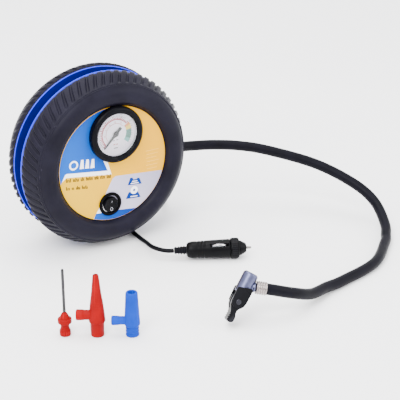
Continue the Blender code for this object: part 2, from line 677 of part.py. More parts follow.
def hose_ferrule():
    """The crimped sleeve between the hose and the chuck, with rings pressed into it."""
    start = hose_mount() - hose_end_direction() * 18.2 * MM
    profile = [(0, 0), (0, 5.5 * MM)]
    for k in range(3):
        s = (1 + 2.6 * k) * MM
        profile += [(s, 5.7 * MM), (s + 0.6 * MM, 5 * MM), (s + 1.8 * MM, 5 * MM)]
    profile += [(8.4 * MM, 5.7 * MM), (9.2 * MM, 5.1 * MM), (9.2 * MM, 0)]
    return turned("hose_ferrule", profile, start, hose_end_direction(), 16,
                  material("ferrule_silver", (0.75, 0.72, 0.68), 0.3, 1.0))


def chuck_body():
    """The metal head: a mouth for the tire valve at one end, a tongue for the lever at the other."""
    axis, centre = chuck_axis(), chuck_centre()
    zinc = material("chuck_zinc", (0.5, 0.52, 0.6), 0.35, 1.0)
    profile = [(-6 * MM, 0), (-6 * MM, 4.4 * MM), (-16 * MM, 4.4 * MM), (-16 * MM, CHUCK_RADIUS - 1 * MM),
               (-14.6 * MM, CHUCK_RADIUS), (4.5 * MM, CHUCK_RADIUS), (4.5 * MM, 0)]
    body = turned("chuck_body", profile, centre, axis, 28, zinc)
    spigot = rod("chuck_spigot", hose_mount() - hose_end_direction() * 8.7 * MM, hose_end_direction(), 6.4 * MM,
                 3.6 * MM, 18)
    join(body, spigot)
    across = lever_axis()
    sideways = axis.cross(across).normalized()
    end = LEVER_PIVOT + 3.6 * MM
    tongue_outline = [(2 * MM, -4 * MM), (LEVER_PIVOT, -4 * MM), (end, -2 * MM), (end, 2 * MM), (LEVER_PIVOT, 4 * MM),
                      (2 * MM, 4 * MM)]
    join(body, prism("chuck_tongue", tongue_outline, centre - across * 2.2 * MM, axis, sideways,
                     4.4 * MM * (1 if axis.cross(sideways).dot(across) > 0 else -1)))
    return cut(body, rod("pin_bore", centre + axis * LEVER_PIVOT - across * 6 * MM, across, 12 * MM, 1.6 * MM, 14))


def chuck_seal():
    profile = [(-14.8 * MM, 2.5 * MM), (-14.8 * MM, 4.1 * MM), (-8 * MM, 4.1 * MM), (-8 * MM, 2.5 * MM)]
    return turned("chuck_seal", profile, chuck_centre(), chuck_axis(), 20, black("seal_rubber"))


def chuck_pin():
    across = lever_axis()
    start = chuck_centre() + chuck_axis() * LEVER_PIVOT - across * 7 * MM
    return rod("chuck_pin", start, across, 14 * MM, 1.3 * MM, 14, steel("chuck_pin_steel"))


def chuck_lever():
    """Two cheeks round the tongue that narrow into a thumb paddle."""
    axis, across = chuck_axis(), lever_axis()
    sideways = axis.cross(across).normalized()
    depth = 13 * MM * (1 if axis.cross(sideways).dot(across) > 0 else -1)
    pivot = chuck_centre() + axis * LEVER_PIVOT
    outline = [(-4.2 * MM, -5.4 * MM), (5.5 * MM, -6 * MM), (10 * MM, -3 * MM), (14 * MM, -4.2 * MM),
               (19.5 * MM, -3.8 * MM), (20.7 * MM, 0), (18 * MM, 2.3 * MM), (10 * MM, 1.6 * MM), (5.5 * MM, 4.8 * MM),
               (-4.2 * MM, 5.4 * MM)]
    lever = prism("chuck_lever", outline, pivot - across * 6.5 * MM, axis, sideways, depth, black("lever_black"))
    slot = [(-8 * MM, -9 * MM), (7.5 * MM, -9 * MM), (7.5 * MM, 9 * MM), (-8 * MM, 9 * MM)]
    cut(lever, prism("lever_slot", slot, pivot - across * 2.6 * MM, axis, sideways, depth * 5.2 / 13))
    return cut(lever, rod("lever_bore", pivot - across * 10 * MM, across, 20 * MM, 1.6 * MM, 14))


# ---- The power cord and its plug


def plug_start():
    return Vector((41.2 * MM, -88.4 * MM, PLUG_RING_RADIUS + 0.2 * MM))


def plug_axis():
    return Vector((0.886, -0.463, 0)).normalized()


def cord_gland():
    outward = around(CORD_EXIT_ANGLE, 1) - WHEEL_CENTRE
    profile = [(65.5 * MM, 0), (65.5 * MM, 6 * MM), (68.8 * MM, 6 * MM), (68.8 * MM, 4.2 * MM), (76 * MM, 4.2 * MM),
               (86 * MM, 2.9 * MM), (86 * MM, 0)]
    return turned("cord_gland", profile, WHEEL_CENTRE, outward, 18, black("cord_gland_black"))


def coil_centre():
    return Vector((58, 92, 0)) * MM


def power_cord():
    rubber = material("cord_rubber", (0.02, 0.02, 0.022), 0.5)
    low = CORD_RADIUS + 0.2 * MM
    side = COIL_RADIUS + COIL_HALF_WIDTH + CORD_RADIUS + GAP
    drop = [(68.6, 0.5, 22.3), (73.2, 3.8, 18), (78.6, 11, 13), (85, 22.5, 7.8), (92, 38, 3.8), (98.6, 62, 2.3)]
    tail = [around(CORD_EXIT_ANGLE, 86.6 * MM)] + [Vector(p) * MM for p in drop]
    tail.append(coil_centre() + Vector((side, -4 * MM, low)))
    tube_along("power_cord_tail", tail, CORD_RADIUS, 10 * MM, rubber, 2)
    coil = [(0.1 * MM + COIL_HALF_HEIGHT * (1 + math.sin(a)), COIL_RADIUS + COIL_HALF_WIDTH * math.cos(a))
            for a in (2 * math.pi * k / 8 for k in range(8))]
    turned("power_cord_coil", coil, coil_centre(), Z_AXIS, 28, rubber)
    under_wheel = [(14.4, 54, 2.3), (18.6, 42, 2.3), (27, 18, 2.3), (28, -7, 2.3), (26.4, -17, 2.3)]
    to_plug = [(24.8, -33, 3), (22.2, -48, 5.8), (18.8, -63, 8.8), (20.4, -74, 10)]
    lead = [coil_centre() + Vector((-side, 0, low))] + [Vector(p) * MM for p in under_wheel + to_plug]
    lead += [plug_start() - plug_axis() * reach * MM for reach in (17.5, 11.9)]
    tube_along("power_cord_lead", lead, CORD_RADIUS, 10 * MM, rubber, 2)


def plug_boot():
    """The bend relief behind the plug, with rings round it."""
    profile = [(-11.4 * MM, 0), (-11.4 * MM, 3 * MM)]
    for k in range(3):
        s = (-10 + 3.4 * k) * MM
        profile += [(s, (3.4 + 0.3 * k) * MM), (s + 1.4 * MM, (3.4 + 0.3 * k) * MM), (s + 2 * MM, (2.8 + 0.3 * k) * MM)]
    profile += [(-GAP, 3.8 * MM), (-GAP, 0)]
    return turned("plug_boot", profile, plug_start(), plug_axis(), 16, black("boot_black"))


def contact_out(side):
    """The way one of the plug's two side contacts points."""
    across = plug_axis().cross(Z_AXIS).normalized()
    toward = across if across.y < 0 else -across
    return (toward * math.cos(CONTACT_ANGLE) + Z_AXIS * math.sin(CONTACT_ANGLE)) * side


def plug_body():
    bore = 4.3 * MM
    profile = [(0, 0), (0, 6.4 * MM), (4 * MM, 7.8 * MM), (PLUG_LENGTH, PLUG_RADIUS), (PLUG_LENGTH, bore),
               (3.5 * MM, bore), (3.5 * MM, 0)]
    body = turned("plug_body", profile, plug_start(), plug_axis(), 28, black("plug_black"))
    for name, side in (("contact_slot_1", 1), ("contact_slot_2", -1)):
        out = contact_out(side)
        across = out.cross(plug_axis()).normalized()
        outline = [(20 * MM, -2.9 * MM), (37 * MM, -2.9 * MM), (37 * MM, 2.9 * MM), (20 * MM, 2.9 * MM)]
        depth = 12 * MM * (1 if plug_axis().cross(across).dot(out) > 0 else -1)
        cut(body, prism(name, outline, plug_start() + out * 3.2 * MM, plug_axis(), across, depth))
    return body


def plug_contacts():
    for k, side in enumerate((1, -1)):
        out = contact_out(side)
        across = out.cross(plug_axis()).normalized()
        bow = [(20.5 * MM + 16 * MM * t, 5.2 * MM + 4.9 * MM * math.sin(math.pi * t)) for t in
               (j / 8 for j in range(9))]
        inner = [(s, r - 0.8 * MM) for s, r in reversed(bow)]
        depth = 5 * MM * (1 if plug_axis().cross(out).dot(across) > 0 else -1)
        prism(f"plug_contact_{k + 1}", bow + inner, plug_start() - across * 2.5 * MM, plug_axis(), out, depth,
              material("contact_chrome", (0.8, 0.8, 0.82), 0.15, 1.0))


def plug_front():
    start, axis = plug_start(), plug_axis()
    ring = [(PLUG_LENGTH + GAP, 5.2 * MM), (PLUG_LENGTH + GAP, 9 * MM), (PLUG_LENGTH + 1 * MM, PLUG_RING_RADIUS),
            (PLUG_LENGTH + 7.4 * MM, PLUG_RING_RADIUS), (PLUG_LENGTH + 8.1 * MM, 9 * MM), (PLUG_LENGTH + 8.1 * MM, 5.2 * MM)]
    turned("plug_ring", ring, start, axis, 28, black("ring_black"))
    nose = [(PLUG_LENGTH + 8.4 * MM, 2.5 * MM), (PLUG_LENGTH + 8.4 * MM, 7.2 * MM), (PLUG_LENGTH + 13 * MM, 4.8 * MM),
            (PLUG_LENGTH + 14 * MM, 3.8 * MM), (PLUG_LENGTH + 14 * MM, 2.5 * MM)]
    turned("plug_nose", nose, start, axis, 24, black("nose_black"))
    tip = [(46 * MM, 0), (46 * MM, 3.8 * MM), (48.1 * MM, 3.8 * MM), (48.1 * MM, 2.2 * MM), (57 * MM, 2.2 * MM),
           (58.4 * MM, 1.2 * MM), (58.4 * MM, 0)]
    turned("plug_tip", tip, start, axis, 20, steel("tip_nickel"))
    rod("fuse", start + axis * 5 * MM, axis, 29 * MM, 3.0 * MM, 20, material("fuse_glass", (0.8, 0.85, 0.9), 0.1))


def tip_spring():
    """A coil spring between the fuse and the tip."""
    start, axis = plug_start() + plug_axis() * 35.3 * MM, plug_axis()
    across, up = side_vectors(axis)
    turns, per_turn, length, radius = 3, 9, 6.8 * MM, 2.9 * MM
    curve = bpy.data.curves.new("tip_spring", "CURVE")
    curve.dimensions = "3D"
    curve.bevel_depth = 0.45 * MM
    curve.bevel_resolution = 1
    curve.use_fill_caps = True
    line = curve.splines.new("POLY")
    line.points.add(turns * per_turn)
    for k, point in enumerate(line.points):
        a = 2 * math.pi * k / per_turn
        place = start + axis * length * k / (turns * per_turn) + (across * math.cos(a) + up * math.sin(a)) * radius
        point.co = (*place, 1)
    curve.materials.append(steel("spring_steel"))
    bpy.context.scene.collection.objects.link(bpy.data.objects.new("tip_spring", curve))


# ---- The adapters


def adapter_red():
    return material("adapter_red", (0.75, 0.03, 0.03), 0.35)


def branch_direction():
    return Vector((-0.84, 0.543, 0)).normalized()


def needle_adapter():
    place = Vector((-115.4, -148.6, 0)) * MM
    profile = [(0, 0), (0, 4.5 * MM), (5.4 * MM, 4.5 * MM), (6.4 * MM, 3.7 * MM), (11.4 * MM, 3.7 * MM),
               (11.8 * MM, 5.8 * MM), (15.6 * MM, 5.8 * MM), (16 * MM, 3.9 * MM), (18.6 * MM, 3.4 * MM),
               (21.5 * MM, 1.6 * MM), (21.5 * MM, 0)]
    turned("needle_base", profile, place, Z_AXIS, 24, adapter_red())
    tube = [(21.8 * MM, 0), (21.8 * MM, 1.3 * MM), (NEEDLE_HEIGHT - 1 * MM, 1.3 * MM), (NEEDLE_HEIGHT, 0.9 * MM),
            (NEEDLE_HEIGHT, 0)]
    turned("needle_tube", tube, place, Z_AXIS, 16, steel("needle_steel"))


def side_branch(obj, name, place, height, radius, reach):
    """A short level spigot that joins the adapter's side."""
    start = place + Z_AXIS * height + branch_direction() * 2 * MM
    join(obj, rod(name, start, branch_direction(), reach - 2 * MM, radius, 20))


def cone_nozzle():
    place = Vector((-93, -163, 0)) * MM
    profile = [(0, 0), (0, 5.6 * MM), (13.4 * MM, 5.8 * MM), (13.4 * MM, 6.8 * MM), (15 * MM, 6.9 * MM),
               (24 * MM, 6.1 * MM), (CONE_HEIGHT - 1 * MM, 2.6 * MM), (CONE_HEIGHT, 2 * MM), (CONE_HEIGHT, 0)]
    cone = turned("cone_nozzle", profile, place, Z_AXIS, 24, adapter_red())
    side_branch(cone, "cone_branch", place, 18.8 * MM, 4.6 * MM, 17.3 * MM)


def blue_nozzle():
    place = Vector((-68.9, -178.7, 0)) * MM
    profile = [(0, 0), (0, 5.6 * MM)]
    for k in range(3):
        s = (1.8 + 2.8 * k) * MM
        profile += [(s, 5.6 * MM), (s + 1.4 * MM, 5 * MM)]
    profile += [(10.2 * MM, 5.6 * MM), (10.2 * MM, 6.6 * MM), (BLUE_HEIGHT - 2 * MM, 5.2 * MM), (BLUE_HEIGHT, 4.6 * MM),
                (BLUE_HEIGHT, 0)]
    nozzle = turned("blue_nozzle", profile, place, Z_AXIS, 24, material("adapter_blue", (0.02, 0.2, 0.85), 0.3))
    side_branch(nozzle, "blue_branch", place, 13.6 * MM, 4 * MM, 17.2 * MM)


def build():
    clear_scene()
    for make in (
        front_shell, rear_shell, rear_panel, rear_screws, centre_band, base_foot, front_label, gauge_case, gauge_dial,
        gauge_needle, gauge_lens, gauge_bezel, switch_frame, switch_rocker, switch_terminals, pump_gears, motor,
        mechanism_frame, piston_parts, inner_tubes, hose_gland, air_hose, hose_ferrule, chuck_body, chuck_seal,
        chuck_pin, chuck_lever, cord_gland, power_cord, plug_boot, plug_body, plug_contacts, plug_front, tip_spring,
        needle_adapter, cone_nozzle, blue_nozzle,
    ):
        make()


build()
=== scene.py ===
import math

import bmesh
import bpy
from mathutils import Matrix, Vector
from mathutils.geometry import tessellate_polygon


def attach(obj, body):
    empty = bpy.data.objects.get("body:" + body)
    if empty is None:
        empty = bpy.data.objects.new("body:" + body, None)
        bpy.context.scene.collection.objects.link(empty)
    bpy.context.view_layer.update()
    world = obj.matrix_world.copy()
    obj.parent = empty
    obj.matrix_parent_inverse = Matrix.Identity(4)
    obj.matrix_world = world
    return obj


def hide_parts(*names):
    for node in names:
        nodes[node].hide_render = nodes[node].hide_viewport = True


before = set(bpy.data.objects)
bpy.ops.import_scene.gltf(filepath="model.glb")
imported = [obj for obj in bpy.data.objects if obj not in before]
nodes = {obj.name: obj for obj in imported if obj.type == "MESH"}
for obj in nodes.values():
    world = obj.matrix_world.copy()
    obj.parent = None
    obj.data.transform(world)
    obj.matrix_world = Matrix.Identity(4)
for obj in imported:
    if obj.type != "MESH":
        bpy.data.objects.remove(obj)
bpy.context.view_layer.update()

MM = 0.001
X, Y, Z = Vector((1, 0, 0)), Vector((0, 1, 0)), Vector((0, 0, 1))
WHEEL = Vector((0, 0, 84)) * MM
GAUGE = Vector((2.2, 0, 113.4)) * MM
SWITCH = Vector((-4.9, 0, 45.2)) * MM
HOUSING = "housing"
NEEDLE_ANGLE = 225
# In millimetres: the lever's pin from the chuck's middle, the back's screws from the axis, the cords.
HINGE = 12
SCREW_CIRCLE = 48
HOSE_RADIUS, CORD_RADIUS = 4.9, 2.1


def in_scene(name, data):
    obj = bpy.data.objects.new(name, data)
    bpy.context.scene.collection.objects.link(obj)
    return obj


def look_along(obj, direction):
    obj.rotation_mode = "QUATERNION"
    obj.rotation_quaternion = direction.to_track_quat("-Z", "Y")


# ---- The camera

def make_camera():
    data = bpy.data.cameras.new("camera")
    data.lens, data.sensor_width = 116.13, 36
    data.clip_start, data.clip_end = 0.05, 20
    camera = in_scene("camera", data)
    camera.location = (-0.5231, -0.9826, 0.5440)
    look_along(camera, -Vector((-0.494, -0.763, 0.416)).normalized())
    bpy.context.scene.camera = camera


make_camera()


# ---- Materials, all procedural

def link(made, source, target):
    made.node_tree.links.new(source, target)


def new_material(name):
    made = bpy.data.materials.new(name)
    made.use_nodes = True
    return made, made.node_tree.nodes["Principled BSDF"]


def place_node(made, stretch=(1, 1, 1)):
    nodes_of = made.node_tree.nodes
    place = nodes_of.new("ShaderNodeTexCoord")
    scale = nodes_of.new("ShaderNodeMapping")
    scale.inputs["Scale"].default_value = stretch
    link(made, place.outputs["Object"], scale.inputs["Vector"])
    return scale.outputs["Vector"]


def noise_node(made, vector, scale, detail=3.0, roughness=0.55):
    made_noise = made.node_tree.nodes.new("ShaderNodeTexNoise")
    made_noise.inputs["Scale"].default_value = scale
    made_noise.inputs["Detail"].default_value = detail
    made_noise.inputs["Roughness"].default_value = roughness
    link(made, vector, made_noise.inputs["Vector"])
    return made_noise.outputs["Fac"]


def remap(made, value, low, high, to_low, to_high):
    node = made.node_tree.nodes.new("ShaderNodeMapRange")
    for name, number in (("From Min", low), ("From Max", high), ("To Min", to_low), ("To Max", to_high)):
        node.inputs[name].default_value = number
    link(made, value, node.inputs["Value"])
    return node.outputs["Result"]


def blend_colours(made, factor, first, second):
    """Mixes two colours, each a colour or an output, by the factor."""
    node = made.node_tree.nodes.new("ShaderNodeMix")
    node.data_type = "RGBA"
    link(made, factor, node.inputs["Factor"])
    for socket, colour in ((node.inputs[6], first), (node.inputs[7], second)):
        if isinstance(colour, tuple):
            socket.default_value = (*colour, 1)
        else:
            link(made, colour, socket)
    return node.outputs[2]


def add_bump(made, shader, height, strength, distance):
    bump = made.node_tree.nodes.new("ShaderNodeBump")
    bump.inputs["Strength"].default_value = strength
    bump.inputs["Distance"].default_value = distance
    link(made, height, bump.inputs["Height"])
    link(made, bump.outputs["Normal"], shader.inputs["Normal"])


def shaded(colour, amount):
    return tuple(min(1.0, max(0.0, c * (1 + amount))) for c in colour)


def finish(name, colour, roughness, metallic=0.0, mottle=0.16, patch=55, grain=2600, relief=0.12,
           spread=0.09, wear=None, stretch=(1, 1, 1), specular=None):
    """A moulded or metal surface: cloudy colour, fine grain, uneven gloss and lighter worn edges."""
    made, shader = new_material(name)
    vector = place_node(made, stretch)
    cloud = noise_node(made, vector, patch)
    fine = noise_node(made, vector, grain, 2.0)
    factor = remap(made, cloud, 0.3, 0.7, 0, 1)
    tone = blend_colours(made, factor, shaded(colour, -mottle), shaded(colour, mottle))
    if wear:
        edge = made.node_tree.nodes.new("ShaderNodeNewGeometry")
        worn = remap(made, edge.outputs["Pointiness"], 0.52, 0.62, 0, 0.55)
        tone = blend_colours(made, worn, tone, wear)
    link(made, tone, shader.inputs["Base Color"])
    link(made, remap(made, cloud, 0.25, 0.75, max(0.03, roughness - spread), min(1, roughness + spread)),
         shader.inputs["Roughness"])
    add_bump(made, shader, fine, relief, 0.00012)
    shader.inputs["Metallic"].default_value = metallic
    if specular is not None:
        shader.inputs["Specular IOR Level"].default_value = specular
    return made


def printed(name, colour, second, direction=(0, 0, 1), low=0.04, high=0.14, roughness=0.45):
    """Satin print on film: a soft gradient between two tones, with fine dots."""
    made, shader = new_material(name)
    vector = place_node(made)
    along = made.node_tree.nodes.new("ShaderNodeVectorMath")
    along.operation = "DOT_PRODUCT"
    along.inputs[1].default_value = Vector(direction).normalized()
    link(made, vector, along.inputs[0])
    grade = remap(made, along.outputs["Value"], low, high, 0, 1)
    tone = blend_colours(made, grade, colour, second)
    dots = noise_node(made, vector, 1500, 2.0)
    tone = blend_colours(made, remap(made, dots, 0.45, 0.75, 0, 0.12), tone, shaded(second, -0.15))
    link(made, tone, shader.inputs["Base Color"])
    wavy = noise_node(made, vector, 45)
    link(made, remap(made, wavy, 0.3, 0.7, roughness - 0.05, roughness + 0.07),
         shader.inputs["Roughness"])
    add_bump(made, shader, wavy, 0.05, 0.0001)
    shader.inputs["Specular IOR Level"].default_value = 0.05
    return made


def glass(name):
    """Clear moulded plastic with faint smears."""
    made = finish(name, (0.98, 0.99, 1.0), 0.03, mottle=0.01, patch=70, grain=500, relief=0.02,
                  spread=0.015)
    shader = made.node_tree.nodes["Principled BSDF"]
    shader.inputs["Transmission Weight"].default_value = 1.0
    shader.inputs["IOR"].default_value = 1.45
    return made


def dial_ink(name, colour, mottle=0.12):
    return finish(name, colour, 0.45, mottle=mottle, patch=300)


FINISHES = {
    "shell": finish("shell_plastic", (0.0072, 0.0066, 0.0118), 0.4, mottle=0.25, patch=38, grain=1500,
                    relief=0.2, wear=(0.03, 0.028, 0.042), specular=0.05),
    "panel": finish("panel_plastic", (0.008, 0.008, 0.01), 0.5, mottle=0.2, grain=1900, relief=0.4,
                    wear=(0.04, 0.04, 0.045), specular=0.2),
    # The band's blue comes in two tones that stand for light: the dark one is painted shade on the groove's
    # floor and the lips' walls, the light one is painted light on the lips' crests, lighter still at their
    # sharp edges.
    "blue_in_painted_shade": finish("band_blue_painted_shade", (0.0003, 0.002, 0.11), 0.3, mottle=0.2, patch=30, relief=0.05,
                         specular=0.05),
    "lip_blue": finish("band_blue_painted_light", (0.012, 0.03, 0.7), 0.3, mottle=0.06, patch=30, relief=0.05,
                       wear=(0.04, 0.08, 0.95), specular=0.2),
    "foot": finish("foot_soft", (0.008, 0.008, 0.009), 0.8, relief=0.5, grain=1200, specular=0.15),
    "bezel": finish("bezel_satin", (0.002, 0.002, 0.003), 0.28, mottle=0.25, relief=0.12,
                    wear=(0.012, 0.012, 0.016), specular=0.05),
    "case": finish("case_black", (0.008, 0.008, 0.01), 0.5, specular=0.2),
    "switch": finish("switch_satin", (0.0015, 0.0015, 0.002), 0.5, mottle=0.3, relief=0.1,
                     wear=(0.008, 0.008, 0.01), specular=0.03),
    "rocker": finish("rocker_gloss", (0.002, 0.002, 0.003), 0.3, mottle=0.25, relief=0.05,
                     wear=(0.012, 0.012, 0.015), specular=0.06),
    "white_mark": finish("mark_white", (0.30, 0.30, 0.33), 0.4, mottle=0.06, relief=0.02),
    "dial": printed("dial_face", (0.93, 0.78, 0.97), (0.97, 0.9, 0.99), (1, 0, -1), -0.12, -0.09, 0.35),
    "dial_red": dial_ink("print_red", (0.45, 0.012, 0.03)),
    "dial_ink": dial_ink("print_ink", (0.008, 0.008, 0.011), 0.3),
    "amber": dial_ink("print_amber", (0.85, 0.24, 0.03), 0.1),
    "yellow_zone": dial_ink("print_yellow", (0.9, 0.62, 0.02), 0.1),
    "green": dial_ink("print_green", (0.004, 0.17, 0.12)),
    "teal": dial_ink("print_teal", (0.10, 0.42, 0.38)),
    "needle": finish("needle_paint", (0.003, 0.0035, 0.004), 0.42, mottle=0.2, relief=0.05, specular=0.1),
    "lens": glass("lens_plastic"),
    "cord": finish("cord_jacket", (0.002, 0.002, 0.003), 0.42, mottle=0.25, patch=120, relief=0.15,
                   grain=1800, specular=0.06),
    "hose": finish("hose_jacket", (0.0025, 0.0023, 0.0045), 0.44, mottle=0.28, patch=90, grain=1700,
                   relief=0.35, specular=0.055),
    "gland": finish("gland_soft", (0.003, 0.003, 0.0045), 0.5, mottle=0.25, relief=0.25, specular=0.05),
    "ferrule": finish("ferrule_metal", (0.3, 0.26, 0.25), 0.2, 1.0, mottle=0.14, patch=140, grain=2200,
                      relief=0.08, wear=(0.9, 0.87, 0.85)),
    "zinc": finish("zinc_cast", (0.085, 0.09, 0.16), 0.34, 1.0, mottle=0.2, patch=160, grain=1500,
                   relief=0.25, wear=(0.5, 0.53, 0.66)),
    "rubber": finish("seal_soft", (0.006, 0.006, 0.006), 0.7, relief=0.3, specular=0.2),
    "steel": finish("steel_plain", (0.45, 0.45, 0.47), 0.27, 1.0, mottle=0.12, patch=150, relief=0.1),
    # The hinge pin's steel is coloured near black, far darker than the plain steel.
    "black_steel": finish("pin_dark_steel", (0.03, 0.03, 0.036), 0.32, 1.0, mottle=0.15, patch=200,
                          relief=0.06),
    "lever": finish("lever_plastic", (0.0022, 0.0022, 0.003), 0.33, mottle=0.25, relief=0.18,
                    wear=(0.02, 0.02, 0.024), specular=0.07),
    "plug": finish("plug_plastic", (0.0015, 0.0015, 0.002), 0.34, mottle=0.25, relief=0.2,
                   wear=(0.012, 0.012, 0.014), specular=0.06),
    "chrome": finish("contact_bright", (0.72, 0.72, 0.75), 0.14, 1.0, mottle=0.1, patch=180, relief=0.04),
    "nickel": finish("tip_bright", (0.2, 0.19, 0.18), 0.24, 1.0, mottle=0.12, patch=200, relief=0.05),
    "red": finish("adapter_scarlet", (0.2, 0.0, 0.0012), 0.42, mottle=0.16, patch=70, relief=0.08,
                  wear=(0.34, 0.001, 0.004), specular=0.05),
    "blue": finish("adapter_azure", (0.0, 0.03, 0.3), 0.42, mottle=0.14, patch=70, relief=0.08,
                   wear=(0.0, 0.06, 0.5), specular=0.05),
    "needle_steel": finish("needle_bright", (0.04, 0.04, 0.042), 0.3, 1.0, mottle=0.15, patch=200,
                           relief=0.06, stretch=(1, 1, 0.1)),
}


# ---- Shape helpers

def new_object(name, mesh, material, body=HOUSING, smooth=32):
    if smooth is not None:
        for face in mesh.polygons:
            face.use_smooth = True
        mesh.set_sharp_from_angle(angle=math.radians(smooth))
    obj = in_scene(name, mesh)
    mesh.materials.append(material)
    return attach(obj, body)


def mesh_from(name, points, faces):
    mesh = bpy.data.meshes.new(name)
    mesh.from_pydata([tuple(p) for p in points], [], [list(f) for f in faces])
    shape = bmesh.new()
    shape.from_mesh(mesh)
    bmesh.ops.remove_doubles(shape, verts=shape.verts, dist=1e-7)
    bmesh.ops.recalc_face_normals(shape, faces=shape.faces)
    shape.to_mesh(mesh)
    shape.free()
    return mesh


def side_vectors(axis):
    first = axis.cross(Z) if abs(axis.z) < 0.9 else X - axis * axis.x
    first = first.normalized()
    return first, axis.cross(first).normalized()


def rounded(profile, radius, pieces=3):
    """The open profile with each inner corner turned into a small arc."""
    points = [Vector(p) for p in profile]
    made = [points[0]]
    for a, b, c in zip(points, points[1:], points[2:]):
        before, after = a - b, c - b
        reach = min(radius, 0.45 * before.length, 0.45 * after.length)
        if reach < 1e-9 or before.angle(after, math.pi) > math.radians(172):
            made.append(b)
            continue
        start, end = b + before.normalized() * reach, b + after.normalized() * reach
        for k in range(pieces + 1):
            t = k / pieces
            made.append(start * (1 - t) ** 2 + b * 2 * t * (1 - t) + end * t * t)
    return made + [points[-1]]


def turned_points(profile, origin, axis, sides):
    across, up = side_vectors(axis)
    points, faces, rings = [], [], []
    for along, radius in profile:
        if abs(radius) < 1e-9:
            rings.append([len(points)])
            points.append(origin + axis * along)
            continue
        rings.append(list(range(len(points), len(points) + sides)))
        for k in range(sides):
            a = 2 * math.pi * (k + 0.5) / sides
            points.append(origin + axis * along + (across * math.cos(a) + up * math.sin(a)) * radius)
    for low, high in zip(rings, rings[1:]):
        for k in range(sides):
            n = (k + 1) % sides
            if len(low) == 1 and len(high) == 1:
                break
            if len(low) == 1:
                faces.append([low[0], high[n], high[k]])
            elif len(high) == 1:
                faces.append([low[k], low[n], high[0]])
            else:
                faces.append([low[k], low[n], high[n], high[k]])
    return points, faces


def turned(name, profile, origin, axis, material, body=HOUSING, sides=96, round_mm=0.4, smooth=32):
    """A profile of (along, radius) millimetres turned about the axis, with its corners rounded."""
    axis = Vector(axis).normalized()
    path = rounded([(a * MM, r * MM) for a, r in profile], round_mm * MM) if round_mm else [
        Vector((a * MM, r * MM)) for a, r in profile]
    points, faces = turned_points(path, origin, axis, sides)
    return new_object(name, mesh_from(name, points, faces), material, body, smooth)


def slab(name, outline, origin, u, v, depth, material, body=HOUSING, bevel=0.0, smooth=32):
    """A flat outline of (u, v) millimetres pushed along w = u x v by depth millimetres."""
    w = u.cross(v).normalized() * depth * MM
    low = [origin + u * a * MM + v * b * MM for a, b in outline]
    count = len(low)
    faces = [list(range(count)), list(range(count, 2 * count))]
    faces += [[k, (k + 1) % count, count + (k + 1) % count, count + k] for k in range(count)]
    obj = new_object(name, mesh_from(name, low + [p + w for p in low], faces), material, body, smooth)
    if bevel:
        soften(obj, bevel)
    return obj


def facing(u, v, out):
    """1 where u x v points the same way as out, else -1."""
    return 1 if u.cross(v).dot(out) > 0 else -1


def oblong(left, low, right, high):
    return [(left, low), (right, low), (right, high), (left, high)]


def bars_round(name, count, span, half, origin, axis, radius, depth, material, body=HOUSING):
    """Small bars along the axis, spaced evenly round it, that stand out by depth millimetres."""
    across, up = side_vectors(axis)
    made = []
    for k in range(count):
        a = 2 * math.pi * k / count
        out = across * math.cos(a) + up * math.sin(a)
        aside = out.cross(axis)
        made.append(slab(name, oblong(span[0], -half, span[1], half), origin + out * radius * MM, axis,
                         aside, depth * facing(axis, aside, out), material, body))
    return made


def soften(obj, width, segments=3):
    change = obj.modifiers.new("soft_edges", "BEVEL")
    change.width = width * MM
    change.segments = segments
    change.limit_method = "ANGLE"
    change.angle_limit = math.radians(35)
    change.harden_normals = True
    return obj


def cut(obj, cutter):
    """Cuts at once and removes the cutter."""
    change = obj.modifiers.new("cut", "BOOLEAN")
    change.operation = "DIFFERENCE"
    change.solver = "EXACT"
    change.object = cutter
    bpy.context.view_layer.update()
    graph = bpy.context.evaluated_depsgraph_get()
    mesh = bpy.data.meshes.new_from_object(obj.evaluated_get(graph))
    obj.modifiers.remove(change)
    obj.data = mesh
    bpy.data.objects.remove(cutter)
    mesh.set_sharp_from_angle(angle=math.radians(32))
    return obj


def merge(obj, *others):
    """Adds the others' faces to obj, with their materials, and removes them."""
    shape = bmesh.new()
    shape.from_mesh(obj.data)
    for other in others:
        for material in other.data.materials:
            if material.name not in obj.data.materials:
                obj.data.materials.append(material)
        slots = [obj.data.materials.find(material.name) for material in other.data.materials]
        first = len(shape.faces)
        shape.from_mesh(other.data)
        shape.faces.ensure_lookup_table()
        for face in shape.faces[first:]:
            face.material_index = slots[face.material_index]
        bpy.data.objects.remove(other)
    shape.to_mesh(obj.data)
    shape.free()
    return obj


def stand_for(obj, slot, *replaced):
    if replaced:
        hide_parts(*replaced)
    return obj


def around(angle, radius, y=0.0):
    """A point at this angle in degrees and these millimetres from the wheel's axis."""
    a = math.radians(angle)
    return WHEEL + Vector((radius * math.cos(a), y, radius * math.sin(a))) * MM


def smooth_route(points, step):
    """Points about one step apart on a smooth curve through the given ones."""
    ends = [points[0] * 2 - points[1]] + points + [points[-1] * 2 - points[-2]]
    route = []
    for a, b, c, d in zip(ends, ends[1:], ends[2:], ends[3:]):
        pieces = max(2, round((c - b).length / step))
        for k in range(pieces):
            t = k / pieces
            line = 2 * b + (c - a) * t
            route.append(0.5 * (line + (2 * a - 5 * b + 4 * c - d) * t**2 + (3 * b - a - 3 * c + d) * t**3))
    return route + [points[-1]]


def cord_curve(name, route, radius, material, resolution):
    curve = bpy.data.curves.new(name, "CURVE")
    curve.dimensions = "3D"
    curve.bevel_depth = radius
    curve.bevel_resolution = resolution
    curve.use_fill_caps = True
    line = curve.splines.new("POLY")
    line.points.add(len(route) - 1)
    for point, place in zip(line.points, route):
        point.co = (place.x, place.y, max(place.z, radius + 0.1 * MM), 1)
    line.use_smooth = True
    curve.materials.append(material)
    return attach(in_scene(name, curve), HOUSING)


# ---- The cords: the air hose and the power cord

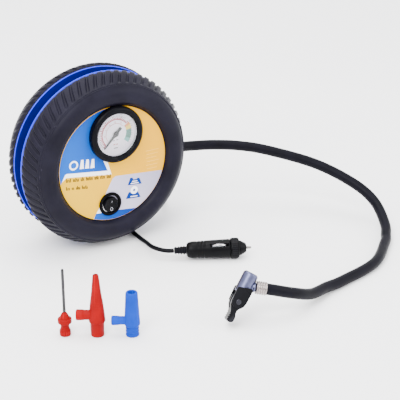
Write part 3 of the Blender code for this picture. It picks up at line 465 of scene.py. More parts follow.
HOSE_ANGLE, CORD_ANGLE = -8.4, -42
CHUCK = Vector((22.2, -207.4, 29.6)) * MM
CHUCK_AXIS = Vector((-0.603, -0.089, -0.78)).normalized()
HOSE_END = Vector((-0.85, 0.48, 0.2)).normalized()
HOSE_MOUNT = CHUCK - CHUCK_AXIS * 2.5 * MM
PLUG = Vector((41.2, -88.4, 9.65)) * MM
PLUG_AXIS = Vector((0.886, -0.463, 0)).normalized()
COIL = Vector((58, 92, 0)) * MM


def hose_route():
    start = around(HOSE_ANGLE, 92.6)
    outward = (start - WHEEL).normalized()
    bend = [(124, -5.5, 67.2), (146, -17.5, 65.6), (170, -34, 61), (206.4, -64.8, 49), (230, -95.7, 34),
            (237.6, -119.2, 21.5), (230, -144.5, 10.5), (219, -159.5, 6.2), (209.5, -169.1, 5.1),
            (175.3, -195.1, 5.1), (130.3, -206.2, 5.1), (107.5, -210.8, 6.9), (85.3, -218.5, 10.7),
            (64, -222.2, 19.4)]
    ends = [HOSE_MOUNT - HOSE_END * reach * MM for reach in (23.1, 18.8)]
    return smooth_route([start, start + outward * 13 * MM] + [Vector(p) * MM for p in bend] + ends,
                        3 * MM)


def coil_route():
    """Eleven and a half turns in rows of three, four rows high, from the bottom row's outside up."""
    pitch, low, outer, per_turn = 4.35 * MM, 2.3 * MM, 39.35 * MM, 40
    route = []
    for step in range(round(11.5 * per_turn) + 1):
        turn, share = divmod(step / per_turn, 1)
        row, column = divmod(int(turn), 3)
        column = 2 - column if row % 2 else column
        after_row, after_column = divmod(int(turn) + 1, 3)
        after_column = 2 - after_column if after_row % 2 else after_column
        rise = min(1, max(0, (share - 0.70) / 0.13))
        shift = min(1, max(0, (share - 0.85) / 0.13))
        ease = [t * t * (3 - 2 * t) for t in (rise, shift)]
        height = low + pitch * (row + (after_row - row) * ease[0])
        radius = outer - pitch * (column + (after_column - column) * ease[1])
        if step < 0.2 * per_turn:
            radius += 4.6 * MM * (1 - step / (0.2 * per_turn)) ** 2
        angle = 2 * math.pi * share
        route.append(COIL + Vector((radius * math.cos(angle), radius * math.sin(angle), height)))
    return route


def power_route():
    drop = [(68.6, 0.5, 22.3), (73.2, 3.8, 18), (78.6, 11, 13), (85, 22.5, 7.8), (92, 38, 3.8),
            (98.6, 62, 2.3)]
    tail = [around(CORD_ANGLE, 86.6)] + [Vector(p) * MM for p in drop]
    coil = coil_route()
    tail = smooth_route(tail + [coil[0]], 3 * MM)[:-1]
    descent = [(17.6, 84, 15.6), (14.6, 75, 13), (13, 65, 8.6), (14.2, 54, 4.2), (18.6, 42, 2.3)]
    onward = [(27, 18, 2.3), (28, -7, 2.3), (26.4, -17, 2.3), (24.8, -33, 3), (22.2, -48, 5.8),
              (18.8, -63, 8.8), (20.4, -74, 10)]
    lead = [coil[-1]] + [Vector(p) * MM for p in descent + onward]
    lead += [PLUG - PLUG_AXIS * reach * MM for reach in (17.5, 11.9)]
    return tail + coil[:-1] + smooth_route(lead, 3 * MM)


air_hose = cord_curve("hose", hose_route(), HOSE_RADIUS * MM, FINISHES["hose"], 8)
stand_for(air_hose, "hose_rubber", "air_hose")
power_cord = cord_curve("power_cord", power_route(), CORD_RADIUS * MM, FINISHES["cord"], 5)
stand_for(power_cord, "cord_rubber", "power_cord_tail", "power_cord_coil", "power_cord_lead")


# ---- The wheel's two black halves

TREAD_PROFILE = [(81.5, 8.6), (82.2, 9.2), (83.2, 10.4), (83.6, 12), (83.5, 13.8), (83.1, 15.6),
                 (82, 18.4),
                 (80.3, 21.7), (78.5, 25), (77, 27.9), (76, 29.5), (75.55, 29.75), (75.3, 29.8),
                 (75.4, 30.15),
                 (75.1, 30.55), (74.5, 30.6), (74, 30.95), (73.2, 31.7), (71.5, 33), (69, 34.2),
                 (66, 34.8),
                 (62.4, 34.7), (59.6, 33.8), (57.9, 32.4), (56.9, 30.8), (56.25, 29.3), (55.8, 28)]
PITCHES = 60
SLANT = 8.5
# Degrees from a rib's middle, and how much of the groove's depth is cut there.
GROOVE_SHAPE = [(-2.75, 1), (-2.5, 0.93), (-2.2, 0.66), (-1.95, 0.32), (-1.7, 0.08), (-1.45, 0),
                (-0.8, -0.04), (0, 0.02),
                (0.7, 0), (1.3, -0.06), (1.65, 0.04), (1.9, 0.3), (2.15, 0.64), (2.45, 0.93)]
GROOVE_DEPTH = 1.55


def tread_rows():
    """(radius, y, outward direction, share of the groove's depth) down one half's profile."""
    path = smooth_route([Vector((r, y, 0)) for r, y in TREAD_PROFILE], 0.7)
    path = [Vector((70, 8.5, 0)), Vector((75, 8.5, 0)), Vector((79.8, 8.5, 0)),
            Vector((80.9, 8.5, 0))] + path
    path += [Vector((50, 28, 0)), Vector((40, 28, 0))]
    rows = []
    for k, place in enumerate(path):
        along = (path[min(k + 1, len(path) - 1)] - path[max(k - 1, 0)]).normalized()
        out = Vector((along.y, -along.x, 0))
        share = 1 - min(1, max(0, (place.y - 25) / 3.8)) ** 2 if place.x > 76 else 0
        share *= min(1, max(0, (place.y - 9) / 2.4)) ** 0.7
        rows.append((place.x, place.y, out, share))
    return rows


def wheel_half(name, side):
    points, faces = [], []
    rows = tread_rows()
    pitch = 360 / PITCHES
    count = PITCHES * len(GROOVE_SHAPE)
    for radius, y, out, share in rows:
        lean = SLANT * min(1, max(0, (y - 8.5) / 20.7))
        edge = min(1, max(0, (y - 20) / 8))
        for k in range(PITCHES):
            for offset, cut_share in GROOVE_SHAPE:
                down = GROOVE_DEPTH * share * cut_share
                r, w = radius - out.x * down, y - out.y * down
                points.append(around(-90 + k * pitch + lean + offset * (1 - 0.12 * edge), r, side * w))
    for i in range(len(rows) - 1):
        for k in range(count):
            n = (k + 1) % count
            faces.append([i * count + k, i * count + n, (i + 1) * count + n, (i + 1) * count + k])
    mesh = bpy.data.meshes.new(name)
    mesh.from_pydata([tuple(p) for p in points], [], [f if side < 0 else f[::-1] for f in faces])
    return new_object(name, mesh, FINISHES["shell"], smooth=40)


stand_for(wheel_half("wheel_front", -1), "shell_black", "front_shell")
stand_for(wheel_half("wheel_rear", 1), "shell_black", "rear_shell")


def groove_band():
    # The groove's floor is drawn in the dark blue that stands for painted shade.
    ring = turned("band_floor", [(-6.2, 70), (-6.2, 73.7), (-5.6, 74), (5.6, 74), (6.2, 73.7), (6.2, 70)],
                  WHEEL, Y, FINISHES["blue_in_painted_shade"], sides=240, round_mm=0.3)
    stand_for(ring, "band_blue", "groove_ring")
    for name, replaced, axis in (("band_lip_front", "front_lip", -Y), ("band_lip_rear", "rear_lip", Y)):
        profile = [(6.3, 70), (6.3, 81.5), (6.45, 82.2), (6.8, 82.5), (7.3, 82.4), (8.0, 81.3),
                   (8.2, 80.7), (8.2, 70)]
        # The lip is drawn in the dark blue, painted shade on its walls; faces more than 81.8 mm from the
        # axis, its crest, take the light blue as painted light.
        lip = turned(name, profile, WHEEL, axis, FINISHES["blue_in_painted_shade"], sides=240, round_mm=0.25)
        lip.data.materials.append(FINISHES["lip_blue"])
        for face in lip.data.polygons:
            if math.hypot(face.center.x, face.center.z - WHEEL.z) > 81.8 * MM:
                face.material_index = 1
        stand_for(lip, "lip_blue", replaced)


groove_band()
arc = [(74.4 * math.sin(t),
        84 - 74.4 * math.cos(t)) for t in (math.asin(14 / 74.4) * (1 - k / 12) for k in range(25))]
foot = slab("ground_foot", [(-14, 0), (14, 0)] + arc, Vector((0, 5.6 * MM, 0)), X, Z, 11.2,
            FINISHES["foot"], bevel=0.6)
stand_for(foot, "foot_rubber", "base_foot")


# ---- The label

LABEL_Y = -29.1


def disc_outline(outline, radius=54.9, sides=144):
    """The part of the outline, points in mm from the wheel's centre, that is inside a disc."""
    for k in range(sides):
        angle = 2 * math.pi * (k + 0.5) / sides
        out_x, out_z = math.cos(angle), math.sin(angle)
        limit = radius * math.cos(math.pi / sides)
        kept = []
        for (ax, az), (bx, bz) in zip(outline, outline[1:] + outline[:1]):
            a, b = ax * out_x + az * out_z - limit, bx * out_x + bz * out_z - limit
            if a <= 0:
                kept.append((ax, az))
            if (a < 0 < b) or (b < 0 < a):
                t = a / (a - b)
                kept.append((ax + (bx - ax) * t, az + (bz - az) * t))
        outline = kept
    return outline


def face_front(shape):
    for face in shape.faces:
        face.normal_update()
        if face.normal.y > 0:
            face.normal_flip()


def patch(name, outline, material, layer=1, clip=True):
    """A thin printed area on the label; a higher layer lies on a lower one."""
    outline = disc_outline(outline) if clip else outline
    y = (LABEL_Y - 0.02 * layer) * MM
    points = [WHEEL + Vector((x * MM, y, z * MM)) for x, z in outline]
    mesh = bpy.data.meshes.new(name)
    mesh.from_pydata([tuple(p) for p in points], [], [list(t) for t in tessellate_polygon([points])])
    shape = bmesh.new()
    shape.from_mesh(mesh)
    face_front(shape)
    shape.to_mesh(mesh)
    shape.free()
    return new_object(name, mesh, material, smooth=None)


def patch_group(name, outlines, material, layer):
    """Many small printed shapes as one thin mesh."""
    first, *others = [patch(f"{name}_{k}", outline, material, layer, False) for k,
                      outline in enumerate(outlines)]
    return merge(first, *others)


def bar(x, z, width, height, slope=0.0, corner=None):
    """A rounded bar's outline: its lower left corner, its size and its slope."""
    r = min(width, height) / 2 if corner is None else corner
    outline = []
    for cx, cz, start in ((x + width - r, z + r, -90), (x + width - r, z + height - r, 0),
                          (x + r, z + height - r, 90), (x + r, z + r, 180)):
        for k in range(4):
            a = math.radians(start + 30 * k)
            px, pz = cx + r * math.cos(a), cz + r * math.sin(a)
            outline.append((px, pz + (px - x) * slope))
    return outline


def circle(x, z, radius, count=32):
    return [(x + radius * math.cos(2 * math.pi * k / count),
             z + radius * math.sin(2 * math.pi * k / count))
            for k in range(count)]


def label():
    base = turned("label_base", [(28.3, 0), (28.3, 55), (28.5, 55.3), (28.9, 55.3), (29.1, 55),
                                 (29.1, 0)], WHEEL,
                  -Y, printed("film_yellow", (0.7, 0.4, 0.0), (0.7, 0.34, 0.0), (1, 0, 0.3), -0.03, 0.05),
                  sides=160, round_mm=0.1)
    stand_for(base, "label_print", "front_label")
    white = printed("film_white", (0.95, 0.95, 0.97), (0.9, 0.9, 0.94), (1, 0, 1), 0.02, 0.09)
    grey = printed("film_grey", (0.50, 0.47, 0.60), (0.30, 0.28, 0.40), (1, 0, 1), 0.03, 0.09)
    sky = printed("film_blue", (0.0004, 0.035, 0.26), (0.002, 0.085, 0.42), (-1, 0, -0.15), -0.02, 0.03)
    navy = printed("film_navy", (0.001, 0.014, 0.16), (0.002, 0.05, 0.24), (1, 0, 0), 0.0, 0.06)
    brown = printed("film_brown", (0.012, 0.006, 0.008), (0.009, 0.005, 0.009), (1, 0, 0), -0.05, 0.0)
    faint = printed("film_faint", (0.8, 0.43, 0.05), (0.74, 0.38, 0.04), (1, 0, 0), 0.03, 0.05)
    areas = [
        ("area_white", [(-60, -11), (-49.6, -3.9), (-48.4, -2.9), (-2.2, -10), (-7.5, 9), (-3, 30),
                        (3, 60), (-60, 60)],
         white, 1),
        ("area_blue", [(-60, -16), (-53.9, -8), (-49.4, 0.3), (-47.8, 0.9), (-6, -5.4), (-10.5, 6),
                       (-5, 30), (-4.5, 56), (-30, 60), (-60, 40)], sky, 2),
        ("area_grey", [(60, -19), (2, -12.8), (-1.2, -14.5), (-12, -33), (-23, -52), (0, -62), (45, -55)],
         grey, 1),
        ("area_white_low", [(-12.6, -36), (-5, -36), (-5, -52), (-26, -60), (-24.5, -53)], white, 2),
        ("area_blue_low", [(-19.8, -45.6), (5, -47.6), (24, -50.2), (40, -52), (10, -66), (-28, -62)],
         sky, 3),
    ]
    made = [patch(name, outline, material, layer) for name, outline, material, layer in areas]
    made += [patch("mark_ring", circle(-40.5, 7.4, 4.5), white, 3, False),
             patch("mark_hole", circle(-40.5, 7.4, 2.9), sky, 4, False)]
    for k, (x, width) in enumerate(((-34.6, 4.2), (-29.2, 4.2), (-23.8, 4.2))):
        made.append(patch(f"mark_bar_{k}", [(x, 2.6 - 0.8 * k), (x + width, 2.2 - 0.8 * k),
                                            (x + width, 10.8 - 0.8 * k),
                                             (x + width * 0.45, 11.2 - 0.8 * k)], white, 3, False))
    made += greeked("line_one", -48.9, -7.4, [5.6, 6.4, 3.8, 7.2, 4.4, 5.2, 4.6], 4.0, -0.128, brown)
    made += greeked("line_two", -49.0, -15.0, [4.2, 2.8, 4.4, 6.2], 3.6, -0.15, brown)
    made += label_icons(navy, white)
    made += [patch(f"fine_line_{k}", bar(34.5 + 0.6 * (k % 2), 4.2 - 3.6 * k, 14 - 1.4 * (k % 3), 0.8,
                                         -0.02), faint, 1,
                   False) for k in range(6)]


def greeked(name, x, z, widths, height, slope, material):
    """A line of plain upright strokes and dots in the place of words."""
    outlines, along = [], 0.0
    for k, width in enumerate(widths):
        strokes = max(2, round(width / 1.25))
        for j in range(strokes):
            left = along + j * width / strokes
            tall = height if (j + k) % 3 == 0 else height * 0.66
            outlines.append(bar(x + left, z + left * slope, 0.8, tall, slope, 0.2))
            if j < strokes - 1:
                outlines.append(bar(x + left, z + left * slope + (height * 0.5 if (j + k) % 2 else 0),
                                    1.2, 0.5, slope, 0.2))
        along += width + 1.5
    return [patch_group(name, outlines, material, 2)]


def label_icons(navy, white):
    first = [(14.3, -25.1), (29.5, -26.8), (27.2, -20.4), (24.5, -19.9), (24.2, -20.9), (20.4, -20.5),
             (20, -18.6), (17.4, -18.1)]
    second = [(11.9, -38.5), (28, -40.1), (25.2, -33.6), (15.4, -32.3)]
    made = [patch("icon_one", first, navy, 2, False), patch("icon_two", second, navy, 2, False),
            patch("icon_disc", circle(21.2, -31.4, 3.9), white, 3, False),
            patch("icon_ring", circle(21.2, -31.4, 1.2), navy, 4, False)]
    for k, (x, z, width) in enumerate(((19.2, -22.6, 5.6), (17.6, -24.4, 8.6), (17, -37.6, 7.6))):
        made.append(patch(f"icon_bar_{k}", bar(x, z, width, 0.75, -0.11), white, 3, False))
    return made


label()


# ---- The gauge

DIAL_Y = -30.4
DIAL_SCALE = 0.955


def on_dial(radius, angle, layer=0):
    a, radius = math.radians(angle), radius * DIAL_SCALE
    return GAUGE + Vector((radius * math.cos(a) * MM, (DIAL_Y - 0.02 * layer) * MM,
                           radius * math.sin(a) * MM))


def dial_mesh(name, outlines, material, layer):
    """Flat printed shapes on the dial, each a list of points."""
    shape = bmesh.new()
    for outline in outlines:
        corners = [shape.verts.new(p) for p in outline]
        shape.faces.new(corners)
    face_front(shape)
    mesh = bpy.data.meshes.new(name)
    shape.to_mesh(mesh)
    shape.free()
    return stand_for(new_object(name, mesh, material, smooth=None), "dial_white")


def arc_band(inner, outer, start, end, layer):
    """Quads that fill a ring's sector."""
    count = max(2, round(abs(end - start) / 4))
    angles = [start + (end - start) * k / count for k in range(count + 1)]
    return [[on_dial(inner, a, layer), on_dial(outer, a, layer), on_dial(outer, b, layer),
             on_dial(inner, b, layer)]
            for a, b in zip(angles, angles[1:])]


def tick(angle, inner, outer, width, layer):
    half_in, half_out = (math.degrees(width / 2 / r) for r in (inner, outer))
    return [on_dial(inner, angle - half_in, layer), on_dial(outer, angle - half_out, layer),
            on_dial(outer, angle + half_out, layer), on_dial(inner, angle + half_in, layer)]


def number(text, radius, angle, size, material, layer):
    """A number on the dial, upright, in the plain built-in letter."""
    curve = bpy.data.curves.new("number", "FONT")
    curve.body, curve.size, curve.align_x, curve.align_y = text, size * MM, "CENTER", "CENTER"
    obj = in_scene(f"number_{text}_{round(radius)}", curve)
    bpy.context.view_layer.update()
    mesh = bpy.data.meshes.new_from_object(obj.evaluated_get(bpy.context.evaluated_depsgraph_get()))
    name = obj.name
    bpy.data.objects.remove(obj)
    place = on_dial(radius, angle, layer)
    mesh.transform(Matrix.Translation(place) @ Matrix.Rotation(math.pi / 2, 4, "X"))
    mesh.materials.clear()
    return stand_for(new_object(name, mesh, material, smooth=None), "dial_white")


def dial():
    face = turned("dial_plate", [(29.6, 0), (29.6, 20.3), (30.4, 20.3), (30.4, 0.9), (32.3, 0.9),
                                 (32.4, 0)], GAUGE, -Y,
                  FINISHES["dial"], sides=96, round_mm=0.1)
    stand_for(face, "dial_white", "gauge_dial")
    dial_mesh("scale_pink", arc_band(13.7, 14.6, 222, 36, 2) + arc_band(9.9, 10.3, 215, 40, 2),
              FINISHES["dial_red"], 2)
    dial_mesh("scale_red", [tick(222 - 6.2 * k, 14, 17.2 if k % 5 == 0 else 16, 0.8,
                                 3) for k in range(31)],
              FINISHES["dial_red"], 3)
    for name, start, end in (("amber", 33, 24), ("yellow_zone", 24, 8), ("green", 8, -26),
                             ("teal", -26, -40)):
        dial_mesh(f"zone_{name}", arc_band(11.5, 17.2, start, end, 1), FINISHES[name], 1)
    ticks = [tick(225 - 5.4 * k, 16.2 if k % 5 == 0 else 16.8, 18, 0.4, 3) for k in range(33)]
    ticks += [tick(30 - 7.5 * k, 17.4, 18.3, 0.4, 3) for k in range(10)]
    dial_mesh("scale_ink", ticks, FINISHES["dial_ink"], 3)
    for k, text in enumerate(("0", "2", "4", "6", "8", "10", "12")):
        number(text, 11.4, 214 - 31 * k, 2.3, FINISHES["dial_red"], 3)
    for k, text in enumerate(("0", "40", "80", "120", "160", "200")):
        number(text, 19.4 if k else 19.0, 222 - 38 * k, 2.0, FINISHES["dial_ink"], 3)
    small = [[on_dial_flat(x, z, 3) for x, z in bar(x0, z0, w, h)] for x0, z0, w, h in (
        (-3.4, -6.9, 2.6, 0.6), (0.6, -6.6, 2.2, 0.6), (-2.2, -14.6, 4.4, 0.8))]
    dial_mesh("dial_small_ink", small, FINISHES["dial_ink"], 3)
    red = [[on_dial_flat(x, z, 3) for x, z in bar(x0, z0, w, h)] for x0, z0, w, h in (
        (-2.6, -11, 2.2, 0.9), (0.2, -11, 2.0, 0.9))]
    dial_mesh("dial_small_red", red, FINISHES["dial_red"], 3)


def on_dial_flat(x, z, layer):
    return GAUGE + Vector((x * DIAL_SCALE * MM, (DIAL_Y - 0.02 * layer) * MM, z * DIAL_SCALE * MM))


def needle():
    a = math.radians(NEEDLE_ANGLE)
    pointer, across = Vector((math.cos(a), 0, math.sin(a))), Vector((-math.sin(a), 0, math.cos(a)))
    outline = [(-7.4, -1.2), (-6.9, -1.5), (-3.4, -1.2), (-1.4, -2.2), (1.4, -2.2), (3.4, -1.1),
               (17.2, -0.35), (17.5, 0),
               (17.2, 0.35), (3.4, 1.1), (1.4, 2.2), (-1.4, 2.2), (-3.4, 1.2), (-6.9, 1.5), (-7.4, 1.2)]
    blade = slab("pointer", outline, GAUGE - Y * 31.25 * MM, pointer, across,
                 0.5 * facing(pointer, across, -Y), FINISHES["needle"], "gauge_pointer", smooth=32)
    hub = turned("pointer_hub", [(31.1, 1.1), (31.1, 2.6), (31.7, 2.6), (32.6, 2.1), (32.75, 1.2),
                                 (32.75, 0)], GAUGE,
                 -Y, FINISHES["needle"], "gauge_pointer", 48, 0.3)
    stand_for(merge(blade, hub), "needle_black", "gauge_needle")


def bezel():
    profile = [(29.4, 22.8), (29.4, 26.3), (29.8, 26.6), (33.5, 26.6), (34.6, 26.4), (35.6, 25.8),
               (36.4, 24.8),
               (36.75, 23.5), (36.7, 22.3), (36.3, 21.4), (35.6, 20.7), (34.9, 20.2), (33.4, 20.0),
               (33.3, 20.4)]
    ring = turned("bezel_ring", profile, GAUGE, -Y, FINISHES["bezel"], sides=192, round_mm=0.5)
    stand_for(ring, "bezel_black", "gauge_bezel")
    seat = turned("bezel_inner", [(33.2, 20.3), (33.0, 20.0), (31.2, 19.9), (30.5, 20.2)], GAUGE, -Y,
                  finish("bezel_trim", (0.65, 0.66, 0.7), 0.2, 0.6, mottle=0.1), sides=128, round_mm=0.2)
    cover = turned("lens", [(33.4, 0), (33.4, 21.8), (33.7, 22.1), (34.4, 22.1), (34.6, 21.8), (34.6, 0)],
                   GAUGE, -Y, FINISHES["lens"], sides=96, round_mm=0.15)
    stand_for(cover, "lens_clear", "gauge_lens")


dial()
needle()
bezel()


# ---- The switch

def switch():
    profile = [(20, 9.7), (28, 9.7), (29.4, 9.9), (29.4, 11.3), (29.7, 11.5), (30.5, 11.5), (31.1, 11.1),
               (31.4, 10.3), (31.4, 9.2), (31.1, 8.6), (30.4, 8.3), (24, 8.3), (16, 8.3), (16, 0)]
    collar = turned("switch_collar", profile, SWITCH, -Y, FINISHES["switch"], sides=128, round_mm=0.35)
    stand_for(collar, "switch_black", "switch_frame")
    tilt = math.radians(8)
    pivot = SWITCH - Y * 29.5 * MM
    forward, up = Vector((0, -math.cos(tilt), -math.sin(tilt))), Vector((0, -math.sin(tilt),
                                                                         math.cos(tilt)))
    button = rocker_mesh(pivot, forward, up)
    stand_for(button, "rocker_black", "switch_rocker")
    for name, sign in (("mark_on", 1), ("mark_off", -1)):
        centre = pivot + up * sign * 3.9 * MM + forward * (rocker_height(3.9) + 0.08) * MM
        slope = (up * sign + forward * rocker_slope()).normalized() * sign
        outlines = [oblong(-0.2, -1.3, 0.2, 1.3)] if sign > 0 else ring_outlines(1.8, 1.35)
        shape = bmesh.new()
        for outline in outlines:
            shape.faces.new([shape.verts.new(centre + X * a * MM + slope * b * MM) for a, b in outline])
        mesh = bpy.data.meshes.new(name)
        shape.to_mesh(mesh)
        shape.free()
        new_object(name, mesh, FINISHES["white_mark"], "rocker", None)


def rocker_slope():
    return (4.3 - 2.6) / 10


def rocker_height(b):
    """The face's height over the pivot at b millimetres up or down from its middle: a shallow V."""
    return min(3.35, 2.6 + abs(b) * rocker_slope())


def ring_outlines(outer, inner, count=24):
    made = []
    for k in range(count):
        a, b = 2 * math.pi * k / count, 2 * math.pi * (k + 1) / count
        made.append([(inner * math.cos(a) * 0.8, inner * math.sin(a)),
                     (outer * math.cos(a) * 0.8, outer * math.sin(a)),
                     (outer * math.cos(b) * 0.8, outer * math.sin(b)),
                     (inner * math.cos(b) * 0.8, inner * math.sin(b))])
    return made


def rocker_mesh(pivot, forward, up):
    rings = [(7.35, -2.4), (7.4, 2.2), (7.25, 2.9), (6.9, 3.2),
             (6.5, 3.3)] + [(6.5 * (1 - k / 10), 3.4) for k in
                                                                                range(1, 10)]
    sides = 72
    points, faces = [], []
    for radius, height in rings:
        for k in range(sides):
            a = 2 * math.pi * k / sides
            x, b = radius * math.cos(a), radius * math.sin(a)
            lift = min(height, rocker_height(b))
            points.append(pivot + X * x * MM + up * b * MM + forward * lift * MM)
    for i in range(len(rings) - 1):
        faces += [[i * sides + k, i * sides + (k + 1) % sides, (i + 1) * sides + (k + 1) % sides,
                   (i + 1) * sides + k]
                  for k in range(sides)]
    points.append(pivot + forward * 2.6 * MM)
    faces += [[(len(rings) - 1) * sides + k, (len(rings) - 1) * sides + (k + 1) % sides, len(points) - 1]
              for k in range(sides)]
    return new_object("rocker_button", mesh_from("rocker_button", points, faces), FINISHES["rocker"],
                      "rocker", 40)


switch()


# ---- The back

def back_panel():
    panel = turned("back_panel", [(28.3, 0), (28.3, 55), (28.6, 55.3), (30.0, 55.3), (30.3, 55),
                                  (30.3, 37),
                                  (29.9, 36.6), (29.9, 0)], WHEEL, Y, FINISHES["panel"], sides=128,
                   round_mm=0.25)
    for k in range(5):
        z = 84 + (k - 2) * 9
        half = 26 - abs(k - 2) * 4
        ends = [(half - 1.6 + 1.6 * math.cos(math.radians(a)), z + 1.6 * math.sin(math.radians(a)))
                for a in range(-90, 91, 15)]
        outline = ends + [(-x, 2 * z - w) for x, w in ends]
        cutter = slab("vent", outline, Vector((0, 24 * MM, 0)), X, Z, -10, FINISHES["panel"], smooth=None)
        cut(panel, cutter)
    for k in range(4):
        cutter = turned("hole", [(24, 0), (24, 1.9), (34, 1.9), (34, 0)],
                        around(45 + 90 * k, SCREW_CIRCLE), Y, FINISHES["panel"], sides=32, round_mm=0)
        cut(panel, cutter)
    stand_for(panel, "panel_black", "rear_panel")
    for k in range(4):
        place = around(45 + 90 * k, SCREW_CIRCLE)
        profile = [(16.7, 0), (16.7, 1.5), (30.5, 1.6), (30.6, 3.1), (31, 3.2), (31.8, 2.9), (32.4, 2.2),
                   (32.7, 1.2), (32.75, 0)]
        screw = turned(f"screw_{k + 1}", profile, place, Y, FINISHES["steel"], sides=48, round_mm=0.3)
        turn = Matrix.Rotation(math.radians(20 + 37 * k), 3, "Y")
        for j in range(2):
            u = turn @ (X if j else Z)
            outline = oblong(-2.3, -0.42, 2.3, 0.42)
            v = u.cross(Y)
            cutter = slab("cross", outline, place + Y * 31.6 * MM, u, v, 3 * facing(u, v, Y),
                          FINISHES["steel"], smooth=None)
            cut(screw, cutter)
        stand_for(screw, "screw_steel", f"rear_screw_{k + 1}")


back_panel()


# ---- The glands and the hose's chuck

def glands():
    outward = (around(HOSE_ANGLE, 1) - WHEEL).normalized()
    profile = [(66, 3), (66, 7), (74.2, 7), (74.6, 6.6), (74.8, 5.2)]
    for k in range(4):
        s = 76 + 3.6 * k
        profile += [(s, 5.25 - 0.08 * k), (s + 0.5, 4.85 - 0.06 * k), (s + 1.6, 4.85 - 0.06 * k),
                    (s + 2.1, 5.2 - 0.08 * k)]
    profile += [(91.4, 5.1), (92, 4.9), (92, 0)]
    relief = turned("hose_relief", profile, WHEEL, outward, FINISHES["gland"], sides=48, round_mm=0.25)
    stand_for(relief, "gland_black", "hose_gland")
    outward = (around(CORD_ANGLE, 1) - WHEEL).normalized()
    profile = [(66, 3), (66, 6), (74.2, 6), (74.6, 5.6), (74.8, 4.2)]
    for k in range(3):
        s = 76 + 3 * k
        profile += [(s, 4.1 - 0.35 * k), (s + 0.5, 3.6 - 0.35 * k), (s + 1.4, 3.5 - 0.35 * k),
                    (s + 1.9, 3.95 - 0.35 * k)]
    profile += [(85.6, 2.95), (86, 2.6), (86, 0)]
    relief = turned("cord_relief", profile, WHEEL, outward, FINISHES["gland"], sides=40, round_mm=0.25)
    stand_for(relief, "gland_black", "cord_gland")


def ferrule():
    profile = [(0, 4.7), (0, 5.2), (0.3, 5.6)]
    for k in range(4):
        s = 0.7 + 2 * k
        profile += [(s, 5.75), (s + 0.6, 5.7), (s + 0.9, 5.2), (s + 1.4, 5.15), (s + 1.7, 5.7)]
    profile += [(8.7, 5.75), (9.2, 5.2), (9.2, 0)]
    sleeve = turned("hose_sleeve", profile, HOSE_MOUNT - HOSE_END * 18.2 * MM, HOSE_END,
                    FINISHES["ferrule"], sides=48, round_mm=0.2)
    return stand_for(sleeve, "ferrule_silver", "hose_ferrule")


def chuck():
    profile = [(-6, 0), (-6, 4.3), (-14.2, 4.3), (-14.6, 4.5), (-14.5, 4.9), (-14.1, 5.6), (-13.4, 6.2),
               (-12.6, 6.5), (-2, 6.5), (3.6, 6.5), (4.5, 5.8), (4.5, 0)]
    body = turned("chuck_head", profile, CHUCK, CHUCK_AXIS, FINISHES["zinc"], sides=64, round_mm=0.35)
    stem = turned("chuck_stem", [(-8.8, 3.6), (-8.3, 4.4), (-7.3, 4.4), (-6.4, 3.9), (-2, 3.9)],
                  HOSE_MOUNT, HOSE_END, FINISHES["zinc"], sides=48, round_mm=0.3)
    across = CHUCK_AXIS.cross(-HOSE_END).normalized()
    sideways = CHUCK_AXIS.cross(across).normalized()
    tip = [(12 + 4 * math.cos(math.radians(a)), 4 * math.sin(math.radians(a))) for a in range(-75, 76,
                                                                                              15)]
    outline = [(2, -4.2)] + tip + [(2, 4.2)]
    tongue = slab("chuck_ear", outline, CHUCK - across * 2.2 * MM, CHUCK_AXIS, sideways,
                  4.4 * facing(CHUCK_AXIS, sideways, across), FINISHES["zinc"])
    head = stand_for(merge(body, stem, tongue), "chuck_zinc", "chuck_body")
    soften(head, 0.35, 2)
    seal = turned("valve_seal", [(-13.6, 2.4), (-13.6, 3.9), (-13.2, 4.2), (-8, 4.2), (-8, 2.4),
                                 (-13.2, 2.2), (-13.6, 2.4)],
                  CHUCK, CHUCK_AXIS, FINISHES["rubber"], sides=40, round_mm=0.15)
    stand_for(seal, "seal_rubber", "chuck_seal")
    pin = turned("hinge_pin", [(-8.9, 0), (-8.9, 1.8), (-8.6, 2.2), (-8.45, 2.2), (-8.45, 1.3),
                               (8.45, 1.3), (8.45, 2.2), (8.6, 2.2), (8.9, 1.8), (8.9, 0)],
                 CHUCK + CHUCK_AXIS * HINGE * MM, across,
                 FINISHES["black_steel"], sides=32, round_mm=0.15)
    stand_for(pin, "pin_steel", "chuck_pin")
    handle = lever(across, sideways)
    return [head, seal, pin, handle]


